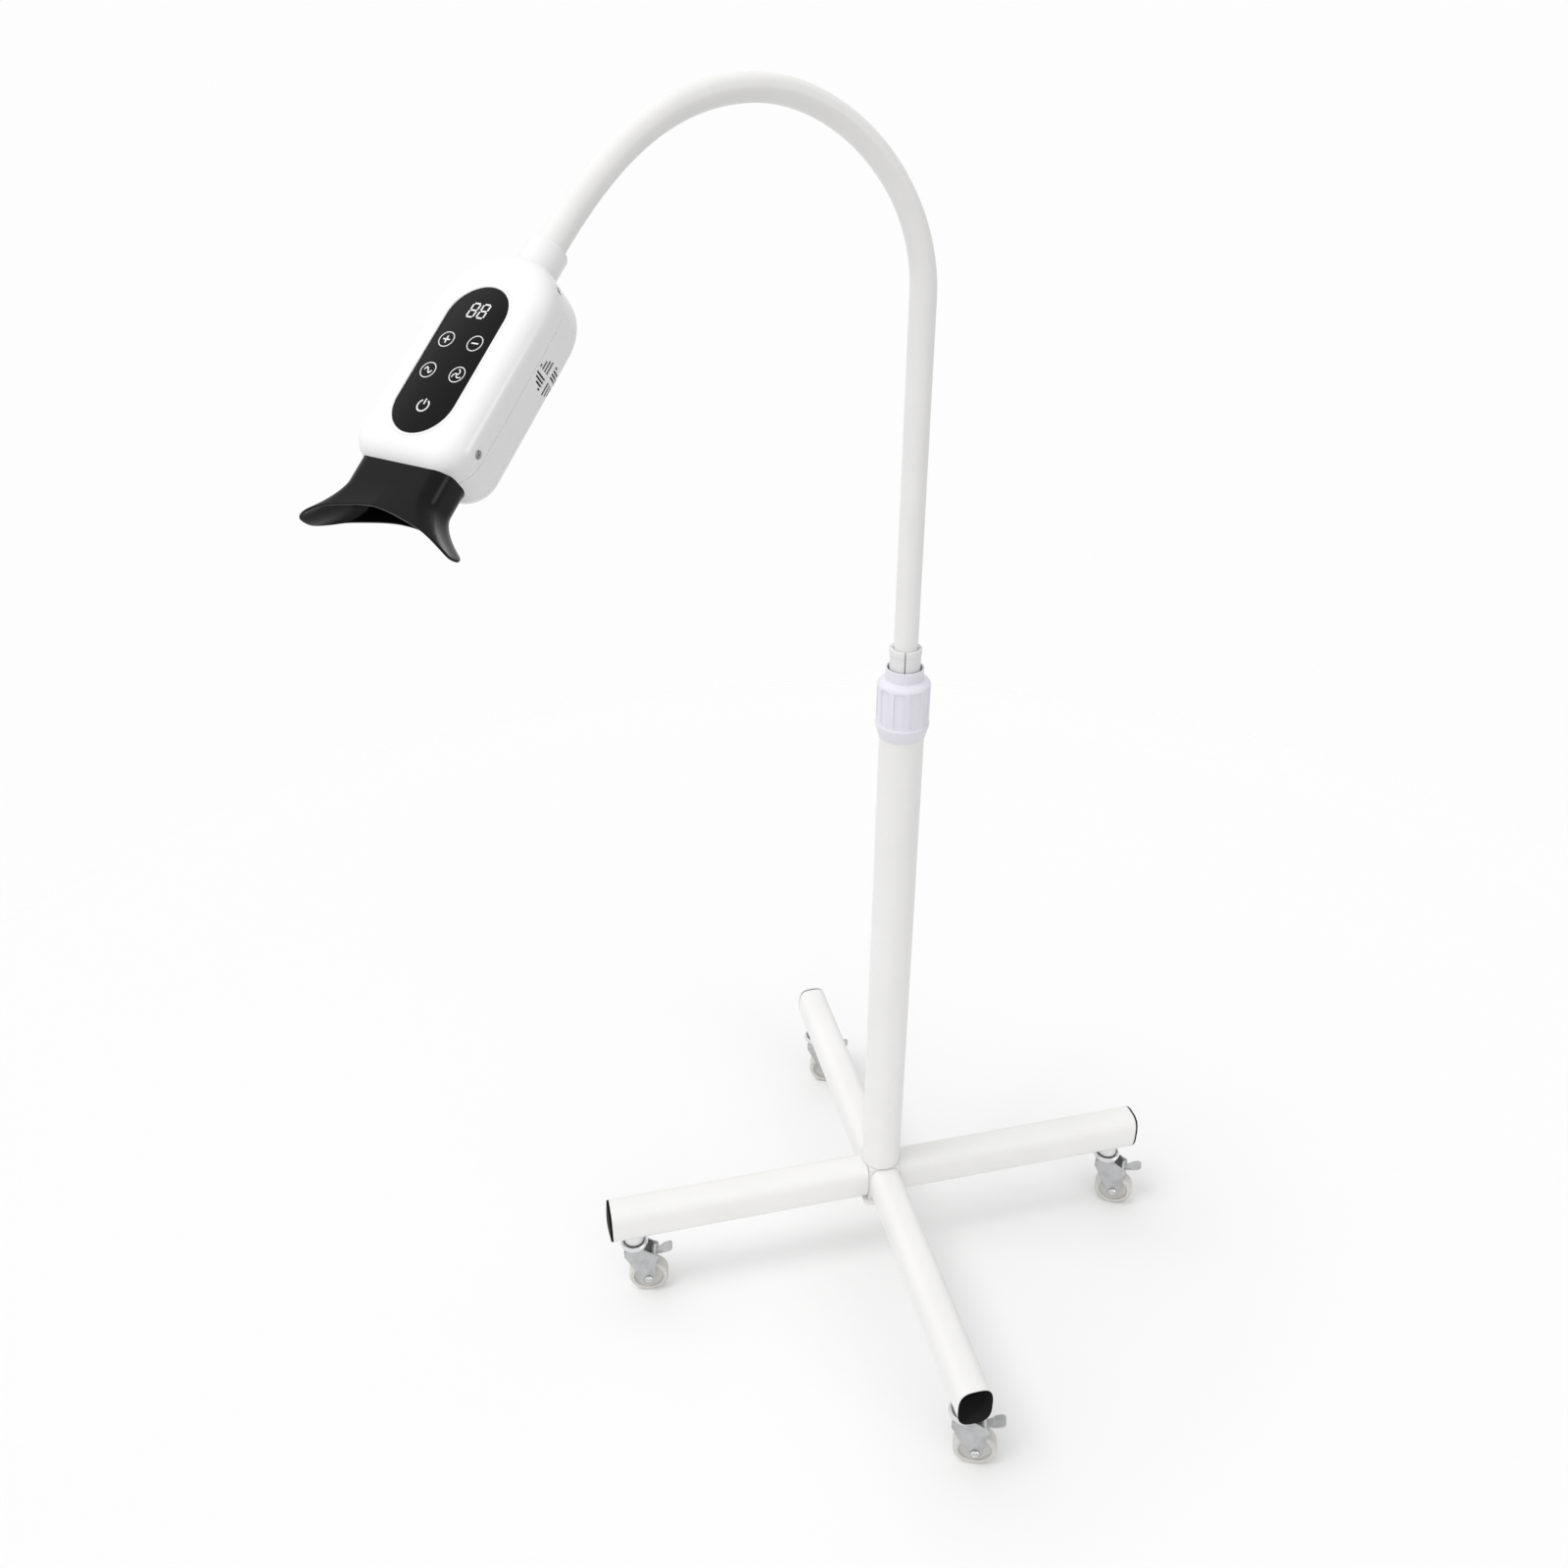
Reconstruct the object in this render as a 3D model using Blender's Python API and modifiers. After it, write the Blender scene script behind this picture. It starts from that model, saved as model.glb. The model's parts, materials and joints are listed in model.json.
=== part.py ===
"""Teeth whitening lamp on a rolling stand: a four-legged base on casters, a telescopic mast with a locking
collar, a gooseneck arch and a cooled lamp head with a pull-off mouth hood.

Metres, +Z up. The origin lies on the floor, on the axis of the mast. The head looks towards -X."""

import math

import bmesh
import bpy
from mathutils import Matrix, Vector

# Clearances and thin things shared by all pieces
GAP = 0.0003
OVERRUN = 0.004
BITE = 0.0006
MERGE = 0.00001
TINY_SHARE = 0.02

# How finely round things are cut
FINE_STEPS = 30
TUBE_STEPS = 24
WHEEL_STEPS = 20
SMALL_STEPS = 12
POST_STEPS = 10
CORNER_STEPS = 3
EDGE_STEPS = 2
SMOOTH_ANGLE = math.radians(32)

# Casters
CASTER_COUNT = 4
WHEEL_RADIUS = 0.025
WHEEL_WIDTH = 0.018
WHEEL_HUB_RADIUS = 0.0075
WHEEL_WEB_RECESS = 0.0035
WHEEL_RIM_WALL = 0.006
TREAD_ROUND = 0.003
AXLE_RADIUS = 0.003
AXLE_HEAD_RADIUS = 0.0052
AXLE_HEAD_LENGTH = 0.0024
TRAIL = 0.016
FORK_SIDE_GAP = 0.0014
FORK_SHEET = 0.0018
FORK_EYE_RADIUS = 0.0085
FORK_TOP_HALF = 0.0130
FORK_TOP_ABOVE_AXLE = 0.0517
FORK_SHOULDER_DROP = 0.010
FORK_EAR_STEPS = 3
FORK_EYE_STEPS = 5
RACE_RADIUS = 0.0175
RACE_HEIGHT = 0.0090
RACE_RIM = 0.0025
STEM_DOME_RADIUS = 0.0120
STEM_DOME_HEIGHT = 0.0127
STEM_DOME_STEPS = 3
STEM_PIN_RADIUS = 0.0050
STEM_PIN_LENGTH = 0.0240
PIVOT_PIN_RADIUS = 0.0040
PIVOT_PIN_LENGTH = 0.0125
LEVER_PIVOT_REACH = 0.0245
LEVER_PIVOT_ABOVE_AXLE = 0.0375
LEVER_BARREL_RADIUS = 0.0030
LEVER_EAR_RADIUS = 0.0055
LEVER_SHEET = 0.0020
LEVER_SHANK_WIDTH = 0.0100
LEVER_SHANK_LENGTH = 0.0082
LEVER_PAD_RADIUS = 0.0085
LEVER_PAD_ARC = math.radians(143)
LEVER_PAD_STEPS = 10
LEVER_SHOE_DROP = 0.0128
LEVER_SLOPE = math.radians(21)
LEVER_THROW = math.radians(18)
CASTER_HEADINGS = tuple(math.radians(angle) for angle in (-55, -65, -75, -60))

# Legs
LEG_COUNT = 4
FIRST_LEG_ANGLE = math.radians(135)
LEG_WIDTH = 0.040
LEG_HEIGHT = 0.052
LEG_CORNER = 0.0155
LEG_WALL = 0.002
LEG_REACH = 0.356
LEG_CAP_RIM = 0.0047
LEG_CAP_ROUND = 0.0018
LEG_CAP_PLUG = 0.016
STEM_FROM_END = 0.032
LEG_STEPS = 3

# Hub
HUB_SIDE_MARGIN = 0.0005
HUB_TOP_ABOVE_LEG_TOP = 0.0008
HUB_EDGE_ROUND = 0.0010
HUB_SPIGOT_WALL = 0.004
HUB_SPIGOT_HEIGHT = 0.030
HUB_BORE_RADIUS = 0.0055
HUB_PLATE_HALF = 0.0270
HUB_PLATE_CORNER = 0.0060
HUB_PLATE_THICKNESS = 0.003
BOLT_HEAD_RADIUS = 0.0090
BOLT_HEAD_HEIGHT = 0.0055
BOLT_SHANK_LENGTH = 0.028
HEX_SIDES = 6

# Column and its collar
COLUMN_RADIUS = 0.024
COLUMN_WALL = 0.002
COLUMN_LENGTH = 0.660
COLUMN_FOOT_ROUND = 0.0012
INSERT_DEPTH = 0.040
INSERT_FLANGE = 0.004
INSERT_NECK_RADIUS = 0.0205
INSERT_NECK_HEIGHT = 0.008
COLLET_RADIUS = 0.01685
COLLET_FOOT_RADIUS = 0.0195
COLLET_FOOT_HEIGHT = 0.004
COLLET_HEIGHT = 0.0464
COLLET_SLIT_WIDTH = 0.0016
COLLET_SLIT_DEPTH = 0.024
COLLET_SLITS = 4
COLLET_SLIT_ANGLE = math.radians(26)
COLLAR_RADIUS = 0.0280
COLLAR_BEAD_RADIUS = 0.0288
COLLAR_SKIRT = 0.042
COLLAR_BODY_HEIGHT = 0.066
COLLAR_FOOT_TAPER = 0.0028
COLLAR_FOOT_HEIGHT = 0.0146
COLLAR_SHOULDER = 0.006
COLLAR_NECK_RADIUS = 0.0200
COLLAR_NECK_HEIGHT = 0.013
COLLAR_NECK_WALL = 0.0017
COLLAR_GROOVES = 10
COLLAR_GROOVE_WIDTH = 0.0115
COLLAR_GROOVE_DEPTH = 0.0014

# Power inlet in the column
INLET_HEIGHT = 0.045
INLET_FLANGE_RADIUS = 0.0085
INLET_FLANGE = 0.0022
INLET_BARREL_RADIUS = 0.0060
INLET_BARREL_LENGTH = 0.013
INLET_BORE_RADIUS = 0.0030

# Mast
ROD_RADIUS = 0.0125
ROD_WALL = 0.0015
ROD_FOOT_ABOVE_COLUMN_FOOT = 0.318
FOOT_BUSH_HEIGHT = 0.045
FOOT_BUSH_FLOOR = 0.006
ROD_ABOVE_COLUMN = 0.403

# Gooseneck arch, seen from the side, with a sweep sideways
ARCH_REACH_TO_APEX = 0.150
ARCH_RISE_TO_APEX = 0.1727
ARCH_APEX_TO_NECK = 0.205
ARCH_DROP_TO_NECK = 0.0982
ARCH_SWEEP = 0.130
ARCH_HANDLE = 0.080
ROUND_HANDLE_SHARE = 0.5523
NECK_SLOPE = math.radians(38.8)
LINK_COUNT = 6
LINK_RINGS = 4
DOME_RINGS = 3
SOCKET_GROWTH = 0.0007
GOOSENECK_RADIUS = 0.0112
NECK_STRAIGHT = 0.0200
SOCKET_STEPS = 20
TUBE_SIDE_RESOLUTION = 6

# Neck collar of the head
NECK_COLLAR_RADIUS = 0.0156
NECK_COLLAR_LENGTH = 0.0225
NECK_COLLAR_INSET = 0.0125
NECK_FLANGE_RADIUS = 0.0186
NECK_FLANGE = 0.0030
NECK_EDGE_ROUND = 0.0012

# Lamp head: X to the front, Y to its right side, Z towards the neck, origin at the neck's seat
HEAD_LENGTH = 0.182
HEAD_WIDTH = 0.100
HEAD_FRONT = 0.0265
HEAD_BACK = 0.0260
HEAD_SEAM = 0.0030
HEAD_WALL = 0.0022
HEAD_FRONT_ROUND = 0.0140
HEAD_BACK_ROUND = 0.0120
HEAD_CORNER_RADIUS = 0.0230
HEAD_TOP_STEPS = 14
HEAD_CORNER_STEPS = 5
HEAD_ROUND_STEPS = 3

# Control panel and what lies behind it
PANEL_WIDTH = 0.052
PANEL_TOP_BELOW_NECK = 0.0365
PANEL_ABOVE_HEAD_FOOT = 0.0215
PANEL_THICKNESS = 0.0012
PANEL_STEPS = 12
DISPLAY_WIDTH = 0.024
DISPLAY_LENGTH = 0.015
DISPLAY_DEPTH = 0.0065
DISPLAY_BELOW_PANEL_TOP = 0.0205
BOARD_WIDTH = 0.044
BOARD_END_MARGIN = 0.014
BOARD_THICKNESS = 0.0016
BOARD_CORNER = 0.003
BOSS_RADIUS = 0.0030

# Light engine
LENS_ABOVE_PLUG = 0.0023
LENS_THICKNESS = 0.0025
LENS_CORNER = 0.0130
LED_BOARD_ABOVE_LENS = 0.0090
LED_BOARD_WIDTH = 0.050
LED_BOARD_DEPTH = 0.030
LED_BOARD_THICKNESS = 0.0016
LED_RADIUS = 0.0030
LED_HEIGHT = 0.0022
LED_COLUMNS = 4
LED_ROWS = 2
LED_PITCH = 0.0110
SINK_BASE = 0.0040
SINK_FIN_LENGTH = 0.0200
SINK_FIN_THICKNESS = 0.0016
SINK_FINS = 9
SINK_DEPTH = 0.0330

# Cooling fan behind the side grille
FAN_SIZE = 0.025
FAN_DEPTH = 0.0090
FAN_BELOW_NECK = 0.0770
FAN_FROM_MIDDLE = 0.0320
FAN_BORE_RADIUS = 0.0115
FAN_SPOKE_WIDTH = 0.0016
FAN_SPOKE_THICKNESS = 0.0014
FAN_MOTOR_RADIUS = 0.0050
FAN_HUB_LENGTH = 0.0055
FAN_BLADES = 7
FAN_BLADE_THICKNESS = 0.0008
FAN_BLADE_TIP_GAP = 0.0007
FAN_BLADE_CHORD = 0.0042
FAN_BLADE_PITCH = math.radians(40)
FAN_CORNER_SHARE = 0.167

# Side grilles
GRILLE_RADIUS = 0.0125
GRILLE_SLOTS_PER_SECTOR = 3
GRILLE_CROSS_WIDTH = 0.0026
GRILLE_SLOT_SHARE = 0.5

# Screws that hold the two shells together
SCREW_HEAD_RADIUS = 0.0026
SCREW_HEAD_HEIGHT = 0.0012
SCREW_SHANK_RADIUS = 0.0013
SCREW_LENGTH = 0.0058
SCREW_FRONT_OF_SEAM = 0.0065
SCREW_HIGH_ANGLE = math.radians(38)
SCREW_RECESS = 0.0004
TAB_WIDTH = 0.0070
TAB_THICKNESS = 0.0024
TAB_GAP = 0.0008
TAB_REACH = 0.0135
TAB_ABOVE_LENS = 0.0007

# Mouth hood
HOOD_WIDTH = 0.0800
HOOD_FRONT = 0.0190
HOOD_BACK = 0.0130
HOOD_WALL = 0.0018
HOOD_CORNER = 0.0110
HOOD_PLUG = 0.0160
HOOD_MIDDLE_LENGTH = 0.0340
HOOD_WING_LENGTH = 0.0530
HOOD_WING_SPREAD = 0.0290
HOOD_FRONT_FLARE = 0.0020
HOOD_BACK_FLARE = 0.0020
HOOD_FAR_LIP_RISE = 0.0070
HOOD_TIP_ROUND = 0.0060
HOOD_FLARE_START_SHARE = 0.40
HOOD_FLARE_POWER = 1.6
HOOD_REACH_POWER = 2.2
HOOD_SPREAD_POWER = 3
HOOD_CORNER_STEPS = 4
HOOD_SIDE_STEPS = 8
HOOD_RINGS = 8

# Heights and places that follow from the sizes above
AXLE_HEIGHT = WHEEL_RADIUS
RACE_FOOT = AXLE_HEIGHT + FORK_TOP_ABOVE_AXLE
DOME_FOOT = RACE_FOOT + RACE_HEIGHT + GAP
LEG_BOTTOM = DOME_FOOT + STEM_DOME_HEIGHT + GAP
LEG_AXIS_HEIGHT = LEG_BOTTOM + LEG_HEIGHT / 2
LEG_TOP = LEG_BOTTOM + LEG_HEIGHT
HUB_HALF = LEG_WIDTH / 2 + HUB_SIDE_MARGIN
HUB_TOP = LEG_TOP + HUB_TOP_ABOVE_LEG_TOP
COLUMN_FOOT = HUB_TOP + GAP
COLUMN_TOP = COLUMN_FOOT + COLUMN_LENGTH
COLUMN_BORE = COLUMN_RADIUS - COLUMN_WALL
COLLAR_FOOT = COLUMN_TOP - COLLAR_SKIRT
INSERT_TOP = COLUMN_TOP + GAP + INSERT_FLANGE + INSERT_NECK_HEIGHT
COLLET_FOOT = INSERT_TOP + GAP
ROD_FOOT = COLUMN_FOOT + ROD_FOOT_ABOVE_COLUMN_FOOT
ROD_TOP = COLUMN_TOP + ROD_ABOVE_COLUMN
STEM_REACH = LEG_REACH - STEM_FROM_END
ARCH_APEX = (-ARCH_REACH_TO_APEX, ROD_TOP + ARCH_RISE_TO_APEX)
NECK_TOP = (ARCH_APEX[0] - ARCH_APEX_TO_NECK, ARCH_APEX[1] - ARCH_DROP_TO_NECK)
HEAD_ORIGIN = Vector(
    (
        NECK_TOP[0] - NECK_STRAIGHT * math.cos(NECK_SLOPE),
        ARCH_SWEEP,
        NECK_TOP[1] - NECK_STRAIGHT * math.sin(NECK_SLOPE),
    )
)
HEAD_TOP_RADIUS = HEAD_WIDTH / 2
PANEL_LENGTH = HEAD_LENGTH - PANEL_TOP_BELOW_NECK - PANEL_ABOVE_HEAD_FOOT
BOARD_LENGTH = PANEL_LENGTH - 2 * BOARD_END_MARGIN
PANEL_MIDDLE = -(PANEL_TOP_BELOW_NECK + PANEL_LENGTH / 2)
PANEL_BACK = HEAD_FRONT - PANEL_THICKNESS
DISPLAY_PLACE = -(PANEL_TOP_BELOW_NECK + DISPLAY_BELOW_PANEL_TOP)
DISPLAY_FACE = PANEL_BACK - GAP
BOARD_FACE = DISPLAY_FACE - DISPLAY_DEPTH - GAP
LENS_TOP = -HEAD_LENGTH + HOOD_PLUG + LENS_ABOVE_PLUG + LENS_THICKNESS
LED_BOARD_FOOT = LENS_TOP + LED_BOARD_ABOVE_LENS
SINK_FOOT = LED_BOARD_FOOT + LED_BOARD_THICKNESS + GAP
HEAD_INNER_BACK = -(HEAD_BACK - HEAD_WALL)
FAN_MIDDLE = HEAD_INNER_BACK + GAP + FAN_SIZE / 2
SCREW_X = HEAD_SEAM + SCREW_FRONT_OF_SEAM
SCREW_LOW = LENS_TOP + TAB_ABOVE_LENS + TAB_WIDTH / 2
HEAD_TURN = (0, -(math.pi / 2 - NECK_SLOPE), math.pi)


def clear_scene():
    for thing in list(bpy.data.objects):
        bpy.data.objects.remove(thing, do_unlink=True)


def new_collection(name):
    collection = bpy.data.collections.new(name)
    bpy.context.scene.collection.children.link(collection)
    return collection


clear_scene()
LAMP = new_collection("whitening_lamp")
CUTTERS = new_collection("cutters")


def new_material(name, colour, roughness, metallic=0.0, alpha=1.0):
    material = bpy.data.materials.new(name)
    material.use_nodes = True
    shader = material.node_tree.nodes["Principled BSDF"]
    shader.inputs["Base Color"].default_value = (*colour, 1)
    shader.inputs["Roughness"].default_value = roughness
    shader.inputs["Metallic"].default_value = metallic
    shader.inputs["Alpha"].default_value = alpha
    material.diffuse_color = (*colour, alpha)
    return material


POWDER_WHITE = new_material("powder_coat_white", (0.86, 0.86, 0.84), 0.35)
SHELL_WHITE = new_material("gloss_shell_white", (0.90, 0.90, 0.91), 0.12)
SLEEVE_WHITE = new_material("sleeve_white", (0.87, 0.87, 0.85), 0.3)
COLLAR_WHITE = new_material("collar_white", (0.80, 0.79, 0.86), 0.35)
CAP_BLACK = new_material("cap_black", (0.015, 0.015, 0.015), 0.4)
PANEL_BLACK = new_material("panel_black", (0.02, 0.02, 0.022), 0.08)
HOOD_BLACK = new_material("hood_black", (0.022, 0.022, 0.024), 0.3)
ZINC = new_material("zinc_plate", (0.55, 0.57, 0.57), 0.28, 1.0)
BOLT_STEEL = new_material("bolt_steel", (0.62, 0.62, 0.63), 0.2, 1.0)
NYLON = new_material("wheel_nylon", (0.72, 0.70, 0.66), 0.4)
BUSH_WHITE = new_material("bush_white", (0.82, 0.82, 0.80), 0.45)
ALUMINIUM = new_material("sink_aluminium", (0.70, 0.71, 0.73), 0.35, 1.0)
BOARD_GREEN = new_material("board_green", (0.03, 0.17, 0.07), 0.5)
LED_WHITE = new_material("led_board_white", (0.80, 0.82, 0.85), 0.4)
FAN_BLACK = new_material("fan_black", (0.02, 0.02, 0.02), 0.45)
LENS_CLEAR = new_material("lens_clear", (0.75, 0.80, 0.85), 0.06, 0.0, 0.4)
DISPLAY_GREY = new_material("display_grey", (0.10, 0.10, 0.11), 0.3)


def keep(obj, material):
    """Gives a finished piece its material and its place in the lamp, and shades its round faces smooth."""
    obj.data.materials.clear()
    obj.data.materials.append(material)
    LAMP.objects.link(obj)
    obj.data.shade_smooth()
    obj.data.set_sharp_from_angle(angle=SMOOTH_ANGLE)
    return obj


def hang(obj, parent=None, location=(0, 0, 0), rotation=(0, 0, 0)):
    obj.parent = parent
    obj.location = location
    obj.rotation_euler = rotation
    return obj


def axis_empty(name, parent=None, location=(0, 0, 0), rotation=(0, 0, 0)):
    empty = bpy.data.objects.new(name, None)
    LAMP.objects.link(empty)
    return hang(empty, parent, location, rotation)


def new_object(name, mesh):
    return bpy.data.objects.new(name, mesh)


def helper(obj):
    """Keeps a cutter out of the model."""
    CUTTERS.objects.link(obj)
    obj.hide_render = True
    obj.display_type = "WIRE"
    return obj


def boolean(obj, other, operation):
    modifier = obj.modifiers.new(other.name, "BOOLEAN")
    modifier.operation = operation
    modifier.object = other
    modifier.solver = "EXACT"
    return obj


def cut(obj, *tools):
    for tool in tools:
        boolean(obj, tool, "DIFFERENCE")
    return obj


def join(obj, *tools):
    for tool in tools:
        boolean(obj, tool, "UNION")
    return obj


def turned(name, profile, steps=TUBE_STEPS):
    """A solid of revolution about Z. The profile runs down its outer side; one that leaves the axis is closed."""
    mesh = bpy.data.meshes.new(name)
    points = [(radius, 0, height) for radius, height in profile]
    edges = [(i, i + 1) for i in range(len(points) - 1)]
    if profile[0][0] > 0:
        edges.append((len(points) - 1, 0))
    mesh.from_pydata(points, edges, [])
    obj = new_object(name, mesh)
    screw = obj.modifiers.new("turn", "SCREW")
    screw.axis = "Z"
    screw.angle = 2 * math.pi
    screw.steps = steps
    screw.render_steps = steps
    screw.use_merge_vertices = True
    screw.merge_threshold = MERGE
    screw.use_smooth_shade = True
    return obj


def as_mesh(obj, weld=MERGE):
    """Turns a curve object, or one with modifiers, into a plain welded mesh object of the same name."""
    name = obj.name
    collection = bpy.context.scene.collection
    collection.objects.link(obj)
    bpy.context.view_layer.update()
    graph = bpy.context.evaluated_depsgraph_get()
    mesh = bpy.data.meshes.new_from_object(obj.evaluated_get(graph))
    matrix = obj.matrix_world.copy()
    bpy.data.objects.remove(obj, do_unlink=True)
    made = bmesh.new()
    made.from_mesh(mesh)
    bmesh.ops.remove_doubles(made, verts=made.verts, dist=weld)
    bmesh.ops.recalc_face_normals(made, faces=made.faces)
    made.to_mesh(mesh)
    made.free()
    mesh.name = name
    welded = new_object(name, mesh)
    welded.matrix_world = matrix
    return welded


def plate(name, loops, thickness):
    """A flat outline, with any holes, in the XY plane and half its thickness to each side of it."""
    curve = bpy.data.curves.new(name, "CURVE")
    curve.dimensions = "2D"
    curve.fill_mode = "BOTH"
    curve.extrude = thickness / 2
    for loop in loops:
        spline = curve.splines.new("POLY")
        spline.points.add(len(loop) - 1)
        for point, (x, y) in zip(spline.points, loop):
            point.co = (x, y, 0, 1)
        spline.use_cyclic_u = True
    return as_mesh(new_object(name, curve))


def tube(name, points, radius, shares=None, resolution=TUBE_SIDE_RESOLUTION):
    """A round bar along the points, whose radius at each is its share of the full one."""
    curve = bpy.data.curves.new(name, "CURVE")
    curve.dimensions = "3D"
    curve.bevel_depth = radius
    curve.bevel_resolution = resolution
    curve.use_fill_caps = True
    spline = curve.splines.new("POLY")
    spline.points.add(len(points) - 1)
    for index, (point, place) in enumerate(zip(spline.points, points)):
        point.co = (*place, 1)
        point.radius = shares[index] if shares else 1
    return as_mesh(new_object(name, curve))


def block(name, low, high):
    """A box between two corners."""
    made = bmesh.new()
    bmesh.ops.create_cube(made, size=1)
    low, high = Vector(low), Vector(high)
    scale = Matrix.Diagonal((*(high - low), 1))
    bmesh.ops.transform(made, matrix=Matrix.Translation((low + high) / 2) @ scale, verts=made.verts)
    mesh = bpy.data.meshes.new(name)
    made.to_mesh(mesh)
    made.free()
    return new_object(name, mesh)


def rod_between(name, start, end, radius, steps=SMALL_STEPS):
    """A plain cylinder whose axis runs from start to end."""
    start, end = Vector(start), Vector(end)
    made = bmesh.new()
    length = (end - start).length
    bmesh.ops.create_cone(made, cap_ends=True, segments=steps, radius1=radius, radius2=radius, depth=length)
    turn = (end - start).to_track_quat("Z", "Y").to_matrix().to_4x4()
    bmesh.ops.transform(made, matrix=Matrix.Translation((start + end) / 2) @ turn, verts=made.verts)
    mesh = bpy.data.meshes.new(name)
    made.to_mesh(mesh)
    made.free()
    return new_object(name, mesh)


def arc(centre, radius, start, end, steps):
    """Points on an arc, both ends included."""
    angles = [start + (end - start) * i / steps for i in range(steps + 1)]
    return [(centre[0] + radius * math.cos(a), centre[1] + radius * math.sin(a)) for a in angles]


def rounded_rectangle(low_x, high_x, low_y, high_y, radius, steps):
    """Anticlockwise outline of a rectangle with round corners."""
    quarter = math.pi / 2
    centres = (
        (high_x - radius, high_y - radius),
        (low_x + radius, high_y - radius),
        (low_x + radius, low_y + radius),
        (high_x - radius, low_y + radius),
    )
    points = []
    for index, centre in enumerate(centres):
        points += arc(centre, radius, quarter * index, quarter * (index + 1), steps)
    return points


def leg_profile(inset):
    """The leg's section, its height along X, moved inwards by the inset."""
    half_height, half_width = LEG_HEIGHT / 2 - inset, LEG_WIDTH / 2 - inset
    return rounded_rectangle(-half_height, half_height, -half_width, half_width, LEG_CORNER - inset, LEG_STEPS)


def bevelled(obj, width, segments, angle=SMOOTH_ANGLE):
    modifier = obj.modifiers.new("round", "BEVEL")
    modifier.width = width
    modifier.segments = segments
    modifier.limit_method = "ANGLE"
    modifier.angle_limit = angle
    return obj


def make_hub():
    """The post that the legs butt against, its foot plate and the bolt that ties them together."""
    spigot = COLUMN_BORE - GAP
    inside = spigot - HUB_SPIGOT_WALL
    spigot_top = HUB_TOP + HUB_SPIGOT_HEIGHT
    spigot_foot = HUB_TOP - HUB_TOP_ABOVE_LEG_TOP / 2
    ring = turned(
        "hub_spigot",
        [(spigot, spigot_top), (spigot, spigot_foot), (inside, spigot_foot), (inside, spigot_top)],
    )
    core_height = HUB_TOP - LEG_BOTTOM
    square = rounded_rectangle(-HUB_HALF, HUB_HALF, -HUB_HALF, HUB_HALF, HUB_EDGE_ROUND, EDGE_STEPS)
    post = plate("hub_post", [square], core_height)
    hang(post, None, (0, 0, LEG_BOTTOM + core_height / 2), (0, 0, FIRST_LEG_ANGLE))
    drill = rod_between("bolt_hole", (0, 0, LEG_BOTTOM - OVERRUN), (0, 0, HUB_TOP + OVERRUN), HUB_BORE_RADIUS)
    keep(cut(join(post, helper(ring)), helper(drill)), POWDER_WHITE)
    plate_top = LEG_BOTTOM - GAP
    side = HUB_PLATE_HALF
    outline = rounded_rectangle(-side, side, -side, side, HUB_PLATE_CORNER, CORNER_STEPS)
    bore = arc((0, 0), HUB_BORE_RADIUS, 0, 2 * math.pi, SMALL_STEPS)[:-1]
    foot = plate("hub_plate", [outline, bore], HUB_PLATE_THICKNESS)
    hang(foot, None, (0, 0, plate_top - HUB_PLATE_THICKNESS / 2), (0, 0, FIRST_LEG_ANGLE))
    keep(foot, POWDER_WHITE)
    head_top = plate_top - HUB_PLATE_THICKNESS - GAP
    head_foot = head_top - BOLT_HEAD_HEIGHT
    bolt = rod_between("hub_bolt", (0, 0, head_foot), (0, 0, head_top), BOLT_HEAD_RADIUS, HEX_SIDES)
    shank_radius = HUB_BORE_RADIUS - GAP
    shank = rod_between("bolt_shank", (0, 0, head_top - BITE), (0, 0, head_top + BOLT_SHANK_LENGTH), shank_radius)
    keep(join(bolt, helper(shank)), BOLT_STEEL)


def make_legs():
    """Four tubes of rounded oblong section with their black end caps."""
    tube_end = LEG_REACH - LEG_CAP_RIM - GAP
    outer, inner, plug = leg_profile(0), leg_profile(LEG_WALL), leg_profile(LEG_WALL + GAP)
    lie_along_x = (0, math.pi / 2, 0)
    start = HUB_HALF + GAP
    for index in range(LEG_COUNT):
        angle = FIRST_LEG_ANGLE + 2 * math.pi * index / LEG_COUNT
        axis = axis_empty(f"leg_{index + 1}_axis", None, (0, 0, LEG_AXIS_HEIGHT), (0, 0, angle))
        leg = plate(f"leg_{index + 1}", [outer, inner], tube_end - start)
        hang(leg, axis, ((start + tube_end) / 2, 0, 0), lie_along_x)
        hole = rod_between(
            f"stem_hole_{index + 1}",
            (STEM_REACH, 0, -LEG_HEIGHT / 2 - OVERRUN),
            (STEM_REACH, 0, 0),
            STEM_PIN_RADIUS + GAP,
        )
        cut(leg, hang(helper(hole), axis))
        keep(leg, POWDER_WHITE)
        rim = plate(f"leg_cap_{index + 1}", [outer], LEG_CAP_RIM)
        rim_middle = LEG_REACH - LEG_CAP_RIM / 2
        bevelled(rim, LEG_CAP_ROUND, EDGE_STEPS)
        inside = plate(f"cap_plug_{index + 1}", [plug], LEG_CAP_PLUG)
        plug_middle = LEG_REACH - LEG_CAP_RIM + LEG_CAP_ROUND - LEG_CAP_PLUG / 2
        hang(helper(inside), axis, (plug_middle, 0, 0), lie_along_x)
        hang(rim, axis, (rim_middle, 0, 0), lie_along_x)
        keep(join(rim, inside), CAP_BLACK)


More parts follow.
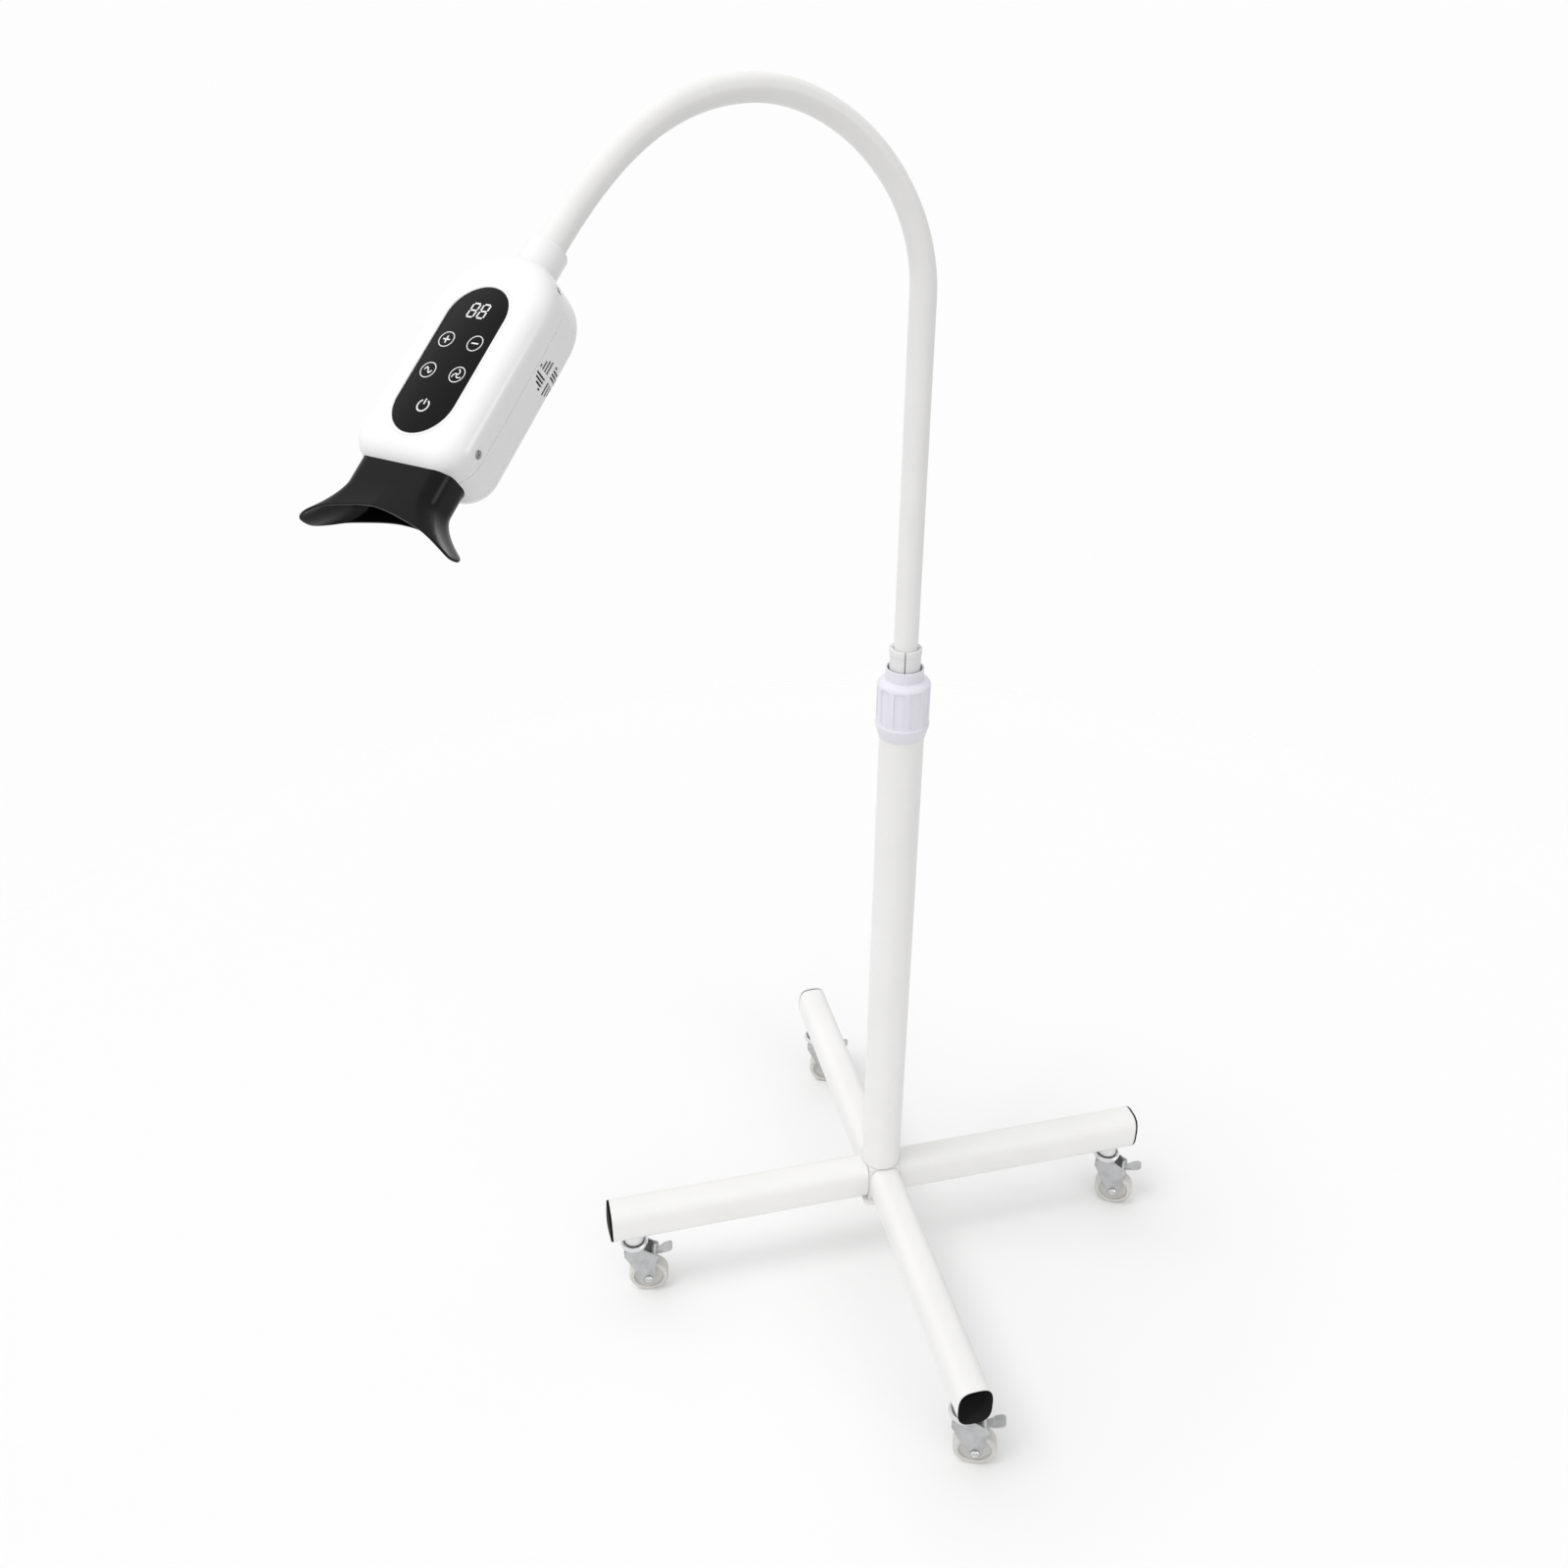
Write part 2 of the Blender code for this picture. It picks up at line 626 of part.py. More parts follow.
def wheel_profile():
    half, hub, rim = WHEEL_WIDTH / 2, WHEEL_HUB_RADIUS, WHEEL_RADIUS - WHEEL_RIM_WALL
    web = half - WHEEL_WEB_RECESS
    bore = AXLE_RADIUS + GAP
    outer = arc((WHEEL_RADIUS - TREAD_ROUND, half - TREAD_ROUND), TREAD_ROUND, math.pi / 2, 0, 1)
    lower = [(radius, -height) for radius, height in reversed(outer)]
    return (
        [(bore, half), (hub, half), (hub, web), (rim, web), (rim, half)]
        + outer
        + lower
        + [(rim, -half), (rim, -web), (hub, -web), (hub, -half), (bore, -half)]
    )


def make_wheel(number, axis):
    keep(hang(turned(f"caster_{number}_wheel", wheel_profile(), WHEEL_STEPS), axis), NYLON)


def make_axle(number, axis):
    """A rivet through both fork plates, with a head at each end."""
    grip = WHEEL_WIDTH / 2 + FORK_SIDE_GAP + FORK_SHEET + GAP
    head = grip + AXLE_HEAD_LENGTH
    profile = [
        (0, head),
        (AXLE_HEAD_RADIUS / 2, head),
        (AXLE_HEAD_RADIUS, head - AXLE_HEAD_LENGTH / 2),
        (AXLE_HEAD_RADIUS, grip),
        (AXLE_RADIUS, grip),
        (AXLE_RADIUS, -grip),
        (AXLE_HEAD_RADIUS, -grip),
        (AXLE_HEAD_RADIUS, -(head - AXLE_HEAD_LENGTH / 2)),
        (AXLE_HEAD_RADIUS / 2, -head),
        (0, -head),
    ]
    keep(hang(turned(f"caster_{number}_axle", profile, SMALL_STEPS), axis), BOLT_STEEL)


def make_stem(number, axis):
    """Nylon-capped stem: the pin in the leg, the dome under it and the pin that the fork turns on."""
    dome_top = LEG_BOTTOM - GAP
    dome = arc((0, DOME_FOOT), STEM_DOME_RADIUS, math.pi / 3, 0, STEM_DOME_STEPS)
    stretch = STEM_DOME_HEIGHT / (STEM_DOME_RADIUS * math.sin(math.pi / 3))
    rounded = [(radius, DOME_FOOT + (height - DOME_FOOT) * stretch) for radius, height in dome]
    profile = (
        [(0, dome_top + STEM_PIN_LENGTH), (STEM_PIN_RADIUS, dome_top + STEM_PIN_LENGTH), (STEM_PIN_RADIUS, dome_top)]
        + rounded
        + [
            (PIVOT_PIN_RADIUS, DOME_FOOT),
            (PIVOT_PIN_RADIUS, DOME_FOOT - PIVOT_PIN_LENGTH),
            (0, DOME_FOOT - PIVOT_PIN_LENGTH),
        ]
    )
    keep(hang(turned(f"caster_{number}_stem", profile, SMALL_STEPS), axis), BUSH_WHITE)


def fork_outline():
    """One side of the fork, X along the trail and Y up from the axle."""
    top = FORK_TOP_ABOVE_AXLE - FORK_SHEET / 2
    shoulder = FORK_TOP_ABOVE_AXLE - FORK_SHOULDER_DROP
    ear_x = LEVER_PIVOT_REACH - TRAIL
    ear = arc((ear_x, LEVER_PIVOT_ABOVE_AXLE), LEVER_EAR_RADIUS, math.pi / 2, -math.pi / 3, FORK_EAR_STEPS)
    eye = arc((0, 0), FORK_EYE_RADIUS, 0, -math.pi, FORK_EYE_STEPS)
    left, right = -TRAIL - FORK_TOP_HALF, -TRAIL + FORK_TOP_HALF
    return [(left, top), (right, top), *ear, *eye, (left, shoulder)]


def make_fork(number, axis):
    """Pressed fork: the ball race with one plate on each side of the wheel."""
    race_top = RACE_FOOT + RACE_HEIGHT
    race = turned(
        f"caster_{number}_fork",
        [
            (0, race_top),
            (RACE_RADIUS - RACE_RIM, race_top),
            (RACE_RADIUS, race_top - RACE_RIM),
            (RACE_RADIUS, RACE_FOOT + RACE_RIM),
            (RACE_RADIUS - RACE_RIM, RACE_FOOT),
            (0, RACE_FOOT),
        ],
        WHEEL_STEPS,
    )
    hang(race, axis)
    middle = WHEEL_WIDTH / 2 + FORK_SIDE_GAP + FORK_SHEET / 2
    hole = arc((0, 0), AXLE_RADIUS + GAP, 0, 2 * math.pi, SMALL_STEPS)[:-1]
    for side, name in ((1, "left"), (-1, "right")):
        cheek = plate(f"fork_{name}_{number}", [fork_outline(), hole], FORK_SHEET)
        hang(helper(cheek), axis, (TRAIL, side * middle, AXLE_HEIGHT), (math.pi / 2, 0, 0))
        join(race, cheek)
    crown_half, crown_side = FORK_TOP_HALF - BITE, middle + FORK_SHEET / 2 + BITE
    crown = block(
        f"fork_crown_{number}",
        (-crown_half, -crown_side, RACE_FOOT - FORK_SHEET),
        (crown_half, crown_side, RACE_FOOT + BITE),
    )
    drill = rod_between(
        f"fork_bore_{number}", (0, 0, RACE_FOOT - OVERRUN), (0, 0, race_top + OVERRUN), PIVOT_PIN_RADIUS + GAP
    )
    join(race, hang(helper(crown), axis))
    keep(cut(race, hang(helper(drill), axis)), ZINC)


def make_lever(number, axis):
    """Brake lever: a cross barrel between the ears, a shank and a round pad, with the shoe over the tread."""
    half = WHEEL_WIDTH / 2 + FORK_SIDE_GAP - GAP
    barrel = rod_between(f"caster_{number}_brake_lever", (0, -half, 0), (0, half, 0), LEVER_BARREL_RADIUS)
    hang(barrel, axis)
    shank_end = LEVER_SHANK_LENGTH
    pad = arc((shank_end + LEVER_PAD_RADIUS, 0), LEVER_PAD_RADIUS, -LEVER_PAD_ARC, LEVER_PAD_ARC, LEVER_PAD_STEPS)
    outline = [(0, -LEVER_SHANK_WIDTH / 2), *pad, (0, LEVER_SHANK_WIDTH / 2)]
    paddle = plate(f"lever_paddle_{number}", [outline], LEVER_SHEET)
    hang(helper(paddle), axis, (0, 0, 0), (0, -LEVER_SLOPE, 0))
    shoe_half = LEVER_SHANK_WIDTH / 2
    shoe = block(
        f"lever_shoe_{number}",
        (-LEVER_SHEET, -shoe_half, -LEVER_SHOE_DROP),
        (LEVER_SHEET, shoe_half, 0),
    )
    towards_wheel = math.atan2(LEVER_PIVOT_REACH - TRAIL, LEVER_PIVOT_ABOVE_AXLE)
    hang(helper(shoe), axis, (0, 0, 0), (0, towards_wheel - LEVER_THROW, 0))
    keep(join(barrel, paddle, shoe), ZINC)


def make_casters():
    for index in range(CASTER_COUNT):
        number = index + 1
        angle = FIRST_LEG_ANGLE + 2 * math.pi * index / CASTER_COUNT
        place = (STEM_REACH * math.cos(angle), STEM_REACH * math.sin(angle), 0)
        make_stem(number, axis_empty(f"stem_{number}_axis", None, place))
        swivel = axis_empty(f"swivel_{number}_axis", None, place, (0, 0, CASTER_HEADINGS[index]))
        make_fork(number, swivel)
        lying = (math.pi / 2, 0, 0)
        roll = axis_empty(f"wheel_{number}_axis", swivel, (TRAIL, 0, AXLE_HEIGHT), lying)
        make_wheel(number, roll)
        make_axle(number, roll)
        lever_place = (LEVER_PIVOT_REACH, 0, AXLE_HEIGHT + LEVER_PIVOT_ABOVE_AXLE)
        make_lever(number, axis_empty(f"lever_{number}_axis", swivel, lever_place))


def make_inlet():
    """Power inlet in the lower column, on the side away from the head."""
    out = COLUMN_RADIUS + GAP
    profile = [
        (INLET_FLANGE_RADIUS - INLET_FLANGE / 2, out + INLET_FLANGE),
        (INLET_FLANGE_RADIUS, out + INLET_FLANGE / 2),
        (INLET_FLANGE_RADIUS, out),
        (INLET_BARREL_RADIUS, out),
        (INLET_BARREL_RADIUS, out - INLET_BARREL_LENGTH),
        (INLET_BORE_RADIUS, out - INLET_BARREL_LENGTH),
        (INLET_BORE_RADIUS, out + INLET_FLANGE),
    ]
    height = COLUMN_FOOT + INLET_HEIGHT
    keep(hang(turned("power_inlet", profile, SMALL_STEPS), None, (0, 0, height), (0, math.pi / 2, 0)), CAP_BLACK)
    hole = rod_between(
        "inlet_hole", (COLUMN_BORE - OVERRUN, 0, height), (COLUMN_RADIUS + OVERRUN, 0, height), INLET_BARREL_RADIUS + GAP
    )
    return helper(hole)


def make_column():
    """The outer tube, with its foot edge rounded over the hub."""
    round_off = COLUMN_FOOT_ROUND
    column = turned(
        "column",
        [
            (COLUMN_RADIUS, COLUMN_TOP),
            (COLUMN_RADIUS, COLUMN_FOOT + round_off),
            (COLUMN_RADIUS - round_off, COLUMN_FOOT),
            (COLUMN_BORE, COLUMN_FOOT),
            (COLUMN_BORE, COLUMN_TOP),
        ],
    )
    keep(cut(column, make_inlet()), POWDER_WHITE)


def make_clamp():
    """Insert in the column's top, the split collet on it and the ribbed collar that squeezes it."""
    bore = ROD_RADIUS + GAP
    flange_foot = COLUMN_TOP + GAP
    flange_top = flange_foot + INSERT_FLANGE
    insert_radius = COLUMN_BORE - GAP
    flange_radius = COLUMN_RADIUS - GAP
    insert = turned(
        "column_insert",
        [
            (INSERT_NECK_RADIUS, INSERT_TOP),
            (INSERT_NECK_RADIUS, flange_top),
            (flange_radius, flange_top),
            (flange_radius, flange_foot),
            (insert_radius, flange_foot),
            (insert_radius, COLUMN_TOP - INSERT_DEPTH),
            (bore, COLUMN_TOP - INSERT_DEPTH),
            (bore, INSERT_TOP),
        ],
    )
    keep(insert, BUSH_WHITE)
    foot_top = COLLET_FOOT + COLLET_FOOT_HEIGHT
    collet_top = COLLET_FOOT + COLLET_HEIGHT
    collet = turned(
        "collet",
        [
            (COLLET_RADIUS, collet_top),
            (COLLET_RADIUS, foot_top),
            (COLLET_FOOT_RADIUS, foot_top),
            (COLLET_FOOT_RADIUS, COLLET_FOOT),
            (bore, COLLET_FOOT),
            (bore, collet_top),
        ],
    )
    for index in range(COLLET_SLITS // 2):
        slit = block(
            f"collet_slit_{index + 1}",
            (-COLLET_RADIUS - OVERRUN, -COLLET_SLIT_WIDTH / 2, collet_top - COLLET_SLIT_DEPTH),
            (COLLET_RADIUS + OVERRUN, COLLET_SLIT_WIDTH / 2, collet_top + OVERRUN),
        )
        turn = COLLET_SLIT_ANGLE + 2 * math.pi * index / COLLET_SLITS
        cut(collet, hang(helper(slit), None, (0, 0, 0), (0, 0, turn)))
    keep(collet, BUSH_WHITE)
    make_collar(flange_top, foot_top)


def make_collar(flange_top, foot_top):
    body_top = COLLAR_FOOT + COLLAR_BODY_HEIGHT
    neck_top = body_top + COLLAR_NECK_HEIGHT
    skirt_bore = COLUMN_RADIUS + GAP
    seat_bore = max(INSERT_NECK_RADIUS, COLLET_FOOT_RADIUS) + GAP
    neck_bore = COLLAR_NECK_RADIUS - COLLAR_NECK_WALL
    collar = turned(
        "lock_collar",
        [
            (COLLAR_NECK_RADIUS, neck_top),
            (COLLAR_NECK_RADIUS, body_top),
            (COLLAR_RADIUS - COLLAR_SHOULDER / 2, body_top - COLLAR_SHOULDER / 3),
            (COLLAR_RADIUS, body_top - COLLAR_SHOULDER),
            (COLLAR_RADIUS, COLLAR_FOOT + COLLAR_FOOT_HEIGHT + COLLAR_GROOVE_DEPTH),
            (COLLAR_BEAD_RADIUS, COLLAR_FOOT + COLLAR_FOOT_HEIGHT),
            (COLLAR_RADIUS - COLLAR_FOOT_TAPER, COLLAR_FOOT),
            (skirt_bore, COLLAR_FOOT),
            (skirt_bore, flange_top + GAP),
            (seat_bore, flange_top + GAP),
            (seat_bore, foot_top + GAP),
            (neck_bore, foot_top + GAP),
            (neck_bore, neck_top),
        ],
        FINE_STEPS,
    )
    axis = axis_empty("collar_axis")
    hang(collar, axis)
    groove_low = COLLAR_FOOT + COLLAR_FOOT_HEIGHT + 2 * COLLAR_GROOVE_DEPTH
    groove_high = body_top - COLLAR_SHOULDER - COLLAR_GROOVE_DEPTH
    for index in range(COLLAR_GROOVES):
        groove = block(
            f"collar_groove_{index + 1}",
            (COLLAR_RADIUS - COLLAR_GROOVE_DEPTH, -COLLAR_GROOVE_WIDTH / 2, groove_low),
            (COLLAR_RADIUS + OVERRUN, COLLAR_GROOVE_WIDTH / 2, groove_high),
        )
        angle = 2 * math.pi * (index + 1 / 2) / COLLAR_GROOVES
        cut(collar, hang(helper(groove), axis, (0, 0, 0), (0, 0, angle)))
    keep(collar, COLLAR_WHITE)


def bezier(points, share):
    """A point on the cubic curve through four control points."""
    a, b, c, d = (Vector(p) for p in points)
    rest = 1 - share
    return a * rest**3 + b * (3 * rest**2 * share) + c * (3 * rest * share**2) + d * share**3


def arch_sides():
    """The two cubic curves of the arch in the X-Z plane: up to the apex, then down to the neck."""
    start = (0, ROD_TOP)
    up = (0, ROD_TOP + ARCH_RISE_TO_APEX * ROUND_HANDLE_SHARE)
    flat = (ARCH_APEX[0] + ARCH_REACH_TO_APEX * ROUND_HANDLE_SHARE, ARCH_APEX[1])
    onward = (ARCH_APEX[0] - ARCH_HANDLE, ARCH_APEX[1])
    back = (NECK_TOP[0] + ARCH_HANDLE * math.cos(NECK_SLOPE), NECK_TOP[1] + ARCH_HANDLE * math.sin(NECK_SLOPE))
    return (start, up, flat, ARCH_APEX), (ARCH_APEX, onward, back, NECK_TOP)


def arch_point(share):
    """A point of the arch for a share from 0, at the rod's top, to 1, at the neck. It sweeps towards +Y."""
    first, second = arch_sides()
    flat = bezier(first, 2 * share) if share < 1 / 2 else bezier(second, 2 * share - 1)
    inward = min(max(flat[0] / NECK_TOP[0], 0), 1)
    return Vector((flat[0], ARCH_SWEEP * (1 - (1 - inward) ** 2), flat[1]))


def arch_direction(share):
    step = 1 / (4 * LINK_COUNT * LINK_RINGS)
    low, high = max(share - step, 0), min(share + step, 1)
    return (arch_point(high) - arch_point(low)).normalized()


def even_shares(count):
    """Shares that split the arch into pieces of equal length."""
    fine = LINK_COUNT * LINK_RINGS * 8
    points = [arch_point(i / fine) for i in range(fine + 1)]
    lengths = [0]
    for before, after in zip(points, points[1:]):
        lengths.append(lengths[-1] + (after - before).length)
    found = []
    for index in range(count + 1):
        target = lengths[-1] * index / count
        place = min(range(fine + 1), key=lambda i: abs(lengths[i] - target))
        found.append(place / fine)
    return found


ARCH_SHARES = even_shares(LINK_COUNT)
BEND_POINTS = [arch_point(share) for share in ARCH_SHARES[:-1]]


def domed_end(point, direction, radius):
    """Points and radius shares that close a tube of that radius with a half ball centred on the point."""
    places, shares = [], []
    for index in range(1, DOME_RINGS + 1):
        angle = math.pi / 2 * index / DOME_RINGS
        places.append(point + direction * (radius * math.sin(angle)))
        shares.append(max(math.cos(angle), TINY_SHARE))
    return places, shares


def socket(name, point, ball_radius):
    """The hollow that the ball of the piece before turns in."""
    radius = ball_radius + SOCKET_GROWTH
    made = bmesh.new()
    bmesh.ops.create_uvsphere(made, u_segments=SOCKET_STEPS, v_segments=SOCKET_STEPS // 2, radius=radius)
    mesh = bpy.data.meshes.new(name)
    made.to_mesh(mesh)
    made.free()
    return hang(helper(new_object(name, mesh)), None, point)


def make_mast():
    """Foot bush, inner rod and the sections of the gooseneck, each with a ball end in the next one's cup.

    It returns the axis of the last section, which the head hangs on."""
    bush_top = ROD_FOOT + FOOT_BUSH_HEIGHT
    bush = turned(
        "foot_bush",
        [
            (COLUMN_BORE - GAP, bush_top),
            (COLUMN_BORE - GAP, ROD_FOOT - FOOT_BUSH_FLOOR),
            (ROD_RADIUS - ROD_WALL, ROD_FOOT - FOOT_BUSH_FLOOR),
            (ROD_RADIUS - ROD_WALL, ROD_FOOT - GAP),
            (ROD_RADIUS + GAP, ROD_FOOT - GAP),
            (ROD_RADIUS + GAP, bush_top),
        ],
    )
    keep(bush, BUSH_WHITE)
    ball_places, ball_shares = domed_end(Vector((0, 0, ROD_TOP)), Vector((0, 0, 1)), ROD_RADIUS)
    rod = tube(
        "inner_rod",
        [Vector((0, 0, ROD_FOOT)), Vector((0, 0, ROD_TOP - ROD_RADIUS)), Vector((0, 0, ROD_TOP)), *ball_places],
        ROD_RADIUS,
        [1, 1, 1, *ball_shares],
    )
    bore = rod_between(
        "rod_bore",
        (0, 0, ROD_FOOT - OVERRUN),
        (0, 0, ROD_TOP - ROD_RADIUS),
        ROD_RADIUS - ROD_WALL,
        TUBE_STEPS // 2,
    )
    keep(cut(rod, helper(bore)), SLEEVE_WHITE)
    for index in range(LINK_COUNT):
        axis = make_link(index)
    return axis


def make_link(index):
    """One section of the gooseneck on its bend's axis. The first one narrows from the rod's radius to the
    gooseneck's, and the last one runs straight on into the neck collar."""
    start, end = ARCH_SHARES[index], ARCH_SHARES[index + 1]
    shares = [start + (end - start) * i / LINK_RINGS for i in range(LINK_RINGS + 1)]
    points = [arch_point(share) for share in shares]
    radius_shares = [1] * len(points)
    ball_radius = GOOSENECK_RADIUS
    if index == 0:
        ball_radius = ROD_RADIUS
        excess = ROD_RADIUS / GOOSENECK_RADIUS - 1
        radius_shares = [1 + excess * (1 - i / LINK_RINGS) for i in range(LINK_RINGS + 1)]
    if index < LINK_COUNT - 1:
        name = f"gooseneck_link_{index + 1}"
        places, more = domed_end(points[-1], arch_direction(end), GOOSENECK_RADIUS)
        points += places
        radius_shares += more
    else:
        name = "gooseneck_end"
        down = Vector((-math.cos(NECK_SLOPE), 0, -math.sin(NECK_SLOPE)))
        points.append(points[-1] + down * (NECK_STRAIGHT + NECK_COLLAR_INSET))
        radius_shares.append(1)
    bend = BEND_POINTS[index]
    axis = axis_empty(f"bend_{index + 1}_axis", None, bend)
    link = hang(tube(name, points, GOOSENECK_RADIUS, radius_shares), axis, -bend)
    keep(cut(link, socket(f"socket_{index + 1}", bend, ball_radius)), SLEEVE_WHITE)
    return axis


def head_outline():
    """The head seen from the front as (Y, Z) points: a half circle at the neck and two round corners below."""
    half = HEAD_WIDTH / 2
    foot = -HEAD_LENGTH
    corner = HEAD_CORNER_RADIUS
    top = arc((0, -HEAD_TOP_RADIUS), half, 0, math.pi, HEAD_TOP_STEPS)
    left = arc((-half + corner, foot + corner), corner, math.pi, 3 * math.pi / 2, HEAD_CORNER_STEPS)
    right = arc((half - corner, foot + corner), corner, -math.pi / 2, 0, HEAD_CORNER_STEPS)
    return top + left + right


def half_shell(name, seam, face, rounding):
    """One open half of the housing, rounded at its face and walled inwards."""
    made = bmesh.new()
    ring = [made.verts.new((seam, y, z)) for y, z in head_outline()]
    bottom = made.faces.new(ring)
    grown = bmesh.ops.extrude_face_region(made, geom=[bottom])
    moved = [item for item in grown["geom"] if isinstance(item, bmesh.types.BMVert)]
    bmesh.ops.translate(made, verts=moved, vec=(face - seam, 0, 0))
    cap = [item for item in grown["geom"] if isinstance(item, bmesh.types.BMFace)][0]
    bmesh.ops.bevel(
        made,
        geom=list(cap.edges),
        offset=rounding,
        offset_type="OFFSET",
        segments=HEAD_ROUND_STEPS,
        profile=1 / 2,
        affect="EDGES",
    )
    opened = [f for f in made.faces if all(abs(v.co.x - seam) < MERGE for v in f.verts)]
    bmesh.ops.delete(made, geom=opened, context="FACES")
    bmesh.ops.recalc_face_normals(made, faces=made.faces)
    middle = Vector((seam, 0, -HEAD_LENGTH / 2))
    outward = sum((f.normal.dot(f.calc_center_median() - middle) for f in made.faces), 0)
    if outward < 0:
        bmesh.ops.reverse_faces(made, faces=made.faces)
    mesh = bpy.data.meshes.new(name)
    made.to_mesh(mesh)
    made.free()
    shell = new_object(name, mesh)
    solid = shell.modifiers.new("wall", "SOLIDIFY")
    solid.thickness = HEAD_WALL
    solid.offset = -1
    solid.use_even_offset = True
    solid.use_quality_normals = True
    return as_mesh(shell)


def neck_hole(head):
    hole = rod_between("neck_hole", (0, 0, -2 * NECK_COLLAR_RADIUS), (0, 0, OVERRUN), NECK_COLLAR_RADIUS + GAP, TUBE_STEPS)
    return hang(helper(hole), head)


def hood_hole(head):
    outline = rounded_rectangle(
        -HOOD_BACK - GAP,
        HOOD_FRONT + GAP,
        -HOOD_WIDTH / 2 - GAP,
        HOOD_WIDTH / 2 + GAP,
        HOOD_CORNER + GAP,
        HOOD_CORNER_STEPS,
    )
    hole = plate("hood_hole", [outline], HOOD_PLUG + OVERRUN)
    return hang(helper(hole), head, (0, 0, -HEAD_LENGTH + (HOOD_PLUG - OVERRUN) / 2))


def standing_plate(name, loops, thickness, head, x, z):
    """A plate parallel to the head's front, its outline given as (Y, Z) points about the middle."""
    turned_loops = [[(-z_, y_) for y_, z_ in loop] for loop in loops]
    made = plate(name, turned_loops, thickness)
    return hang(made, head, (x, 0, z), (0, math.pi / 2, 0))


def stadium(half_width, half_length, steps=PANEL_STEPS):
    """A slot-shaped outline about the middle, as (Y, Z) points."""
    straight = half_length - half_width
    return arc((0, straight), half_width, 0, math.pi, steps) + arc((0, -straight), half_width, math.pi, 2 * math.pi, steps)


def panel_recess(head):
    return helper(
        standing_plate(
            "panel_recess",
            [stadium(PANEL_WIDTH / 2 + GAP, PANEL_LENGTH / 2 + GAP)],
            PANEL_THICKNESS + OVERRUN,
            head,
            PANEL_BACK - GAP + (PANEL_THICKNESS + OVERRUN) / 2,
            PANEL_MIDDLE,
        )
    )


def screw_seats():
    """Where each screw enters the shell, with the direction out of the head, both in the head's Y-Z plane."""
    high = Vector((0, math.cos(SCREW_HIGH_ANGLE), math.sin(SCREW_HIGH_ANGLE)))
    crown = Vector((0, 0, -HEAD_TOP_RADIUS))
    seats = []
    for side in (1, -1):
        out = Vector((0, side, 0))
        seats.append((Vector((0, side * HEAD_WIDTH / 2, SCREW_LOW)), out))
        slanted = Vector((0, side * high.y, high.z))
        seats.append((crown + slanted * HEAD_TOP_RADIUS, slanted))
    return seats


def seat_turn(out):
    """Turns a piece built along Z so that its Z runs out of the head, with its X kept to the front."""
    return (-math.atan2(out.y, out.z), 0, 0)


def screw_axis(head, index, seat, out):
    place = (SCREW_X, seat.y, seat.z)
    return axis_empty(f"screw_{index + 1}_axis", head, place, seat_turn(out))


def shell_tab(index):
    """An L-shaped tab: its foot is rooted in the back shell's wall, its tongue lies inside the front shell's."""
    outer = -HEAD_WALL - TAB_GAP
    inner = outer - TAB_THICKNESS
    root = outer + TAB_GAP + HEAD_WALL / 2
    low = HEAD_SEAM - SCREW_X - TAB_WIDTH / 2
    step = HEAD_SEAM - SCREW_X - GAP
    outline = [(low, inner), (low + TAB_REACH, inner), (low + TAB_REACH, outer), (step, outer), (step, root), (low, root)]
    return plate(f"tab_{index + 1}", [outline], TAB_WIDTH)


def make_screws(head):
    """Four recessed screws. It returns the holes for the front shell and those for the back shell's tabs."""
    wall_holes, tab_holes, tabs = [], [], []
    for index, (seat, out) in enumerate(screw_seats()):
        axis = screw_axis(head, index, seat, out)
        head_top = -SCREW_RECESS
        head_foot = head_top - SCREW_HEAD_HEIGHT
        tip = head_top - SCREW_LENGTH
        profile = [
            (0, head_top),
            (SCREW_HEAD_RADIUS, head_top),
            (SCREW_HEAD_RADIUS, head_foot),
            (SCREW_SHANK_RADIUS, head_foot),
            (SCREW_SHANK_RADIUS, tip),
            (0, tip),
        ]
        keep(hang(turned(f"shell_screw_{index + 1}", profile, SMALL_STEPS), axis), BOLT_STEEL)
        recess = rod_between(f"screw_recess_{index + 1}", (0, 0, head_foot - GAP), (0, 0, OVERRUN), SCREW_HEAD_RADIUS + GAP)
        drill = rod_between(f"screw_drill_{index + 1}", (0, 0, tip - GAP), (0, 0, OVERRUN), SCREW_SHANK_RADIUS + GAP)
        wall_holes += [hang(helper(recess), axis), hang(helper(drill), axis)]
        tab_drill = rod_between(f"tab_drill_{index + 1}", (0, 0, tip - GAP), (0, 0, OVERRUN), SCREW_SHANK_RADIUS + GAP)
        tab_holes.append(hang(helper(tab_drill), axis))
        tabs.append(hang(helper(shell_tab(index)), axis, (0, 0, 0), (math.pi / 2, 0, 0)))
    return wall_holes, tab_holes, tabs


def board_bosses(head):
    """Posts on the inside of the front shell that the control board is screwed to."""
    bosses = []
    top = HEAD_FRONT - HEAD_WALL / 2 - PANEL_THICKNESS / 2
    along = BOARD_LENGTH / 2 - BOARD_CORNER - BOSS_RADIUS
    across = BOARD_WIDTH / 2 - BOSS_RADIUS
    for index, (side, end) in enumerate(((1, 1), (-1, 1), (1, -1), (-1, -1))):
        y, z = side * across, PANEL_MIDDLE + end * along
        boss = rod_between(f"board_boss_{index + 1}", (BOARD_FACE + GAP, y, z), (top, y, z), BOSS_RADIUS, POST_STEPS)
        bosses.append(hang(helper(boss), head))
    return bosses


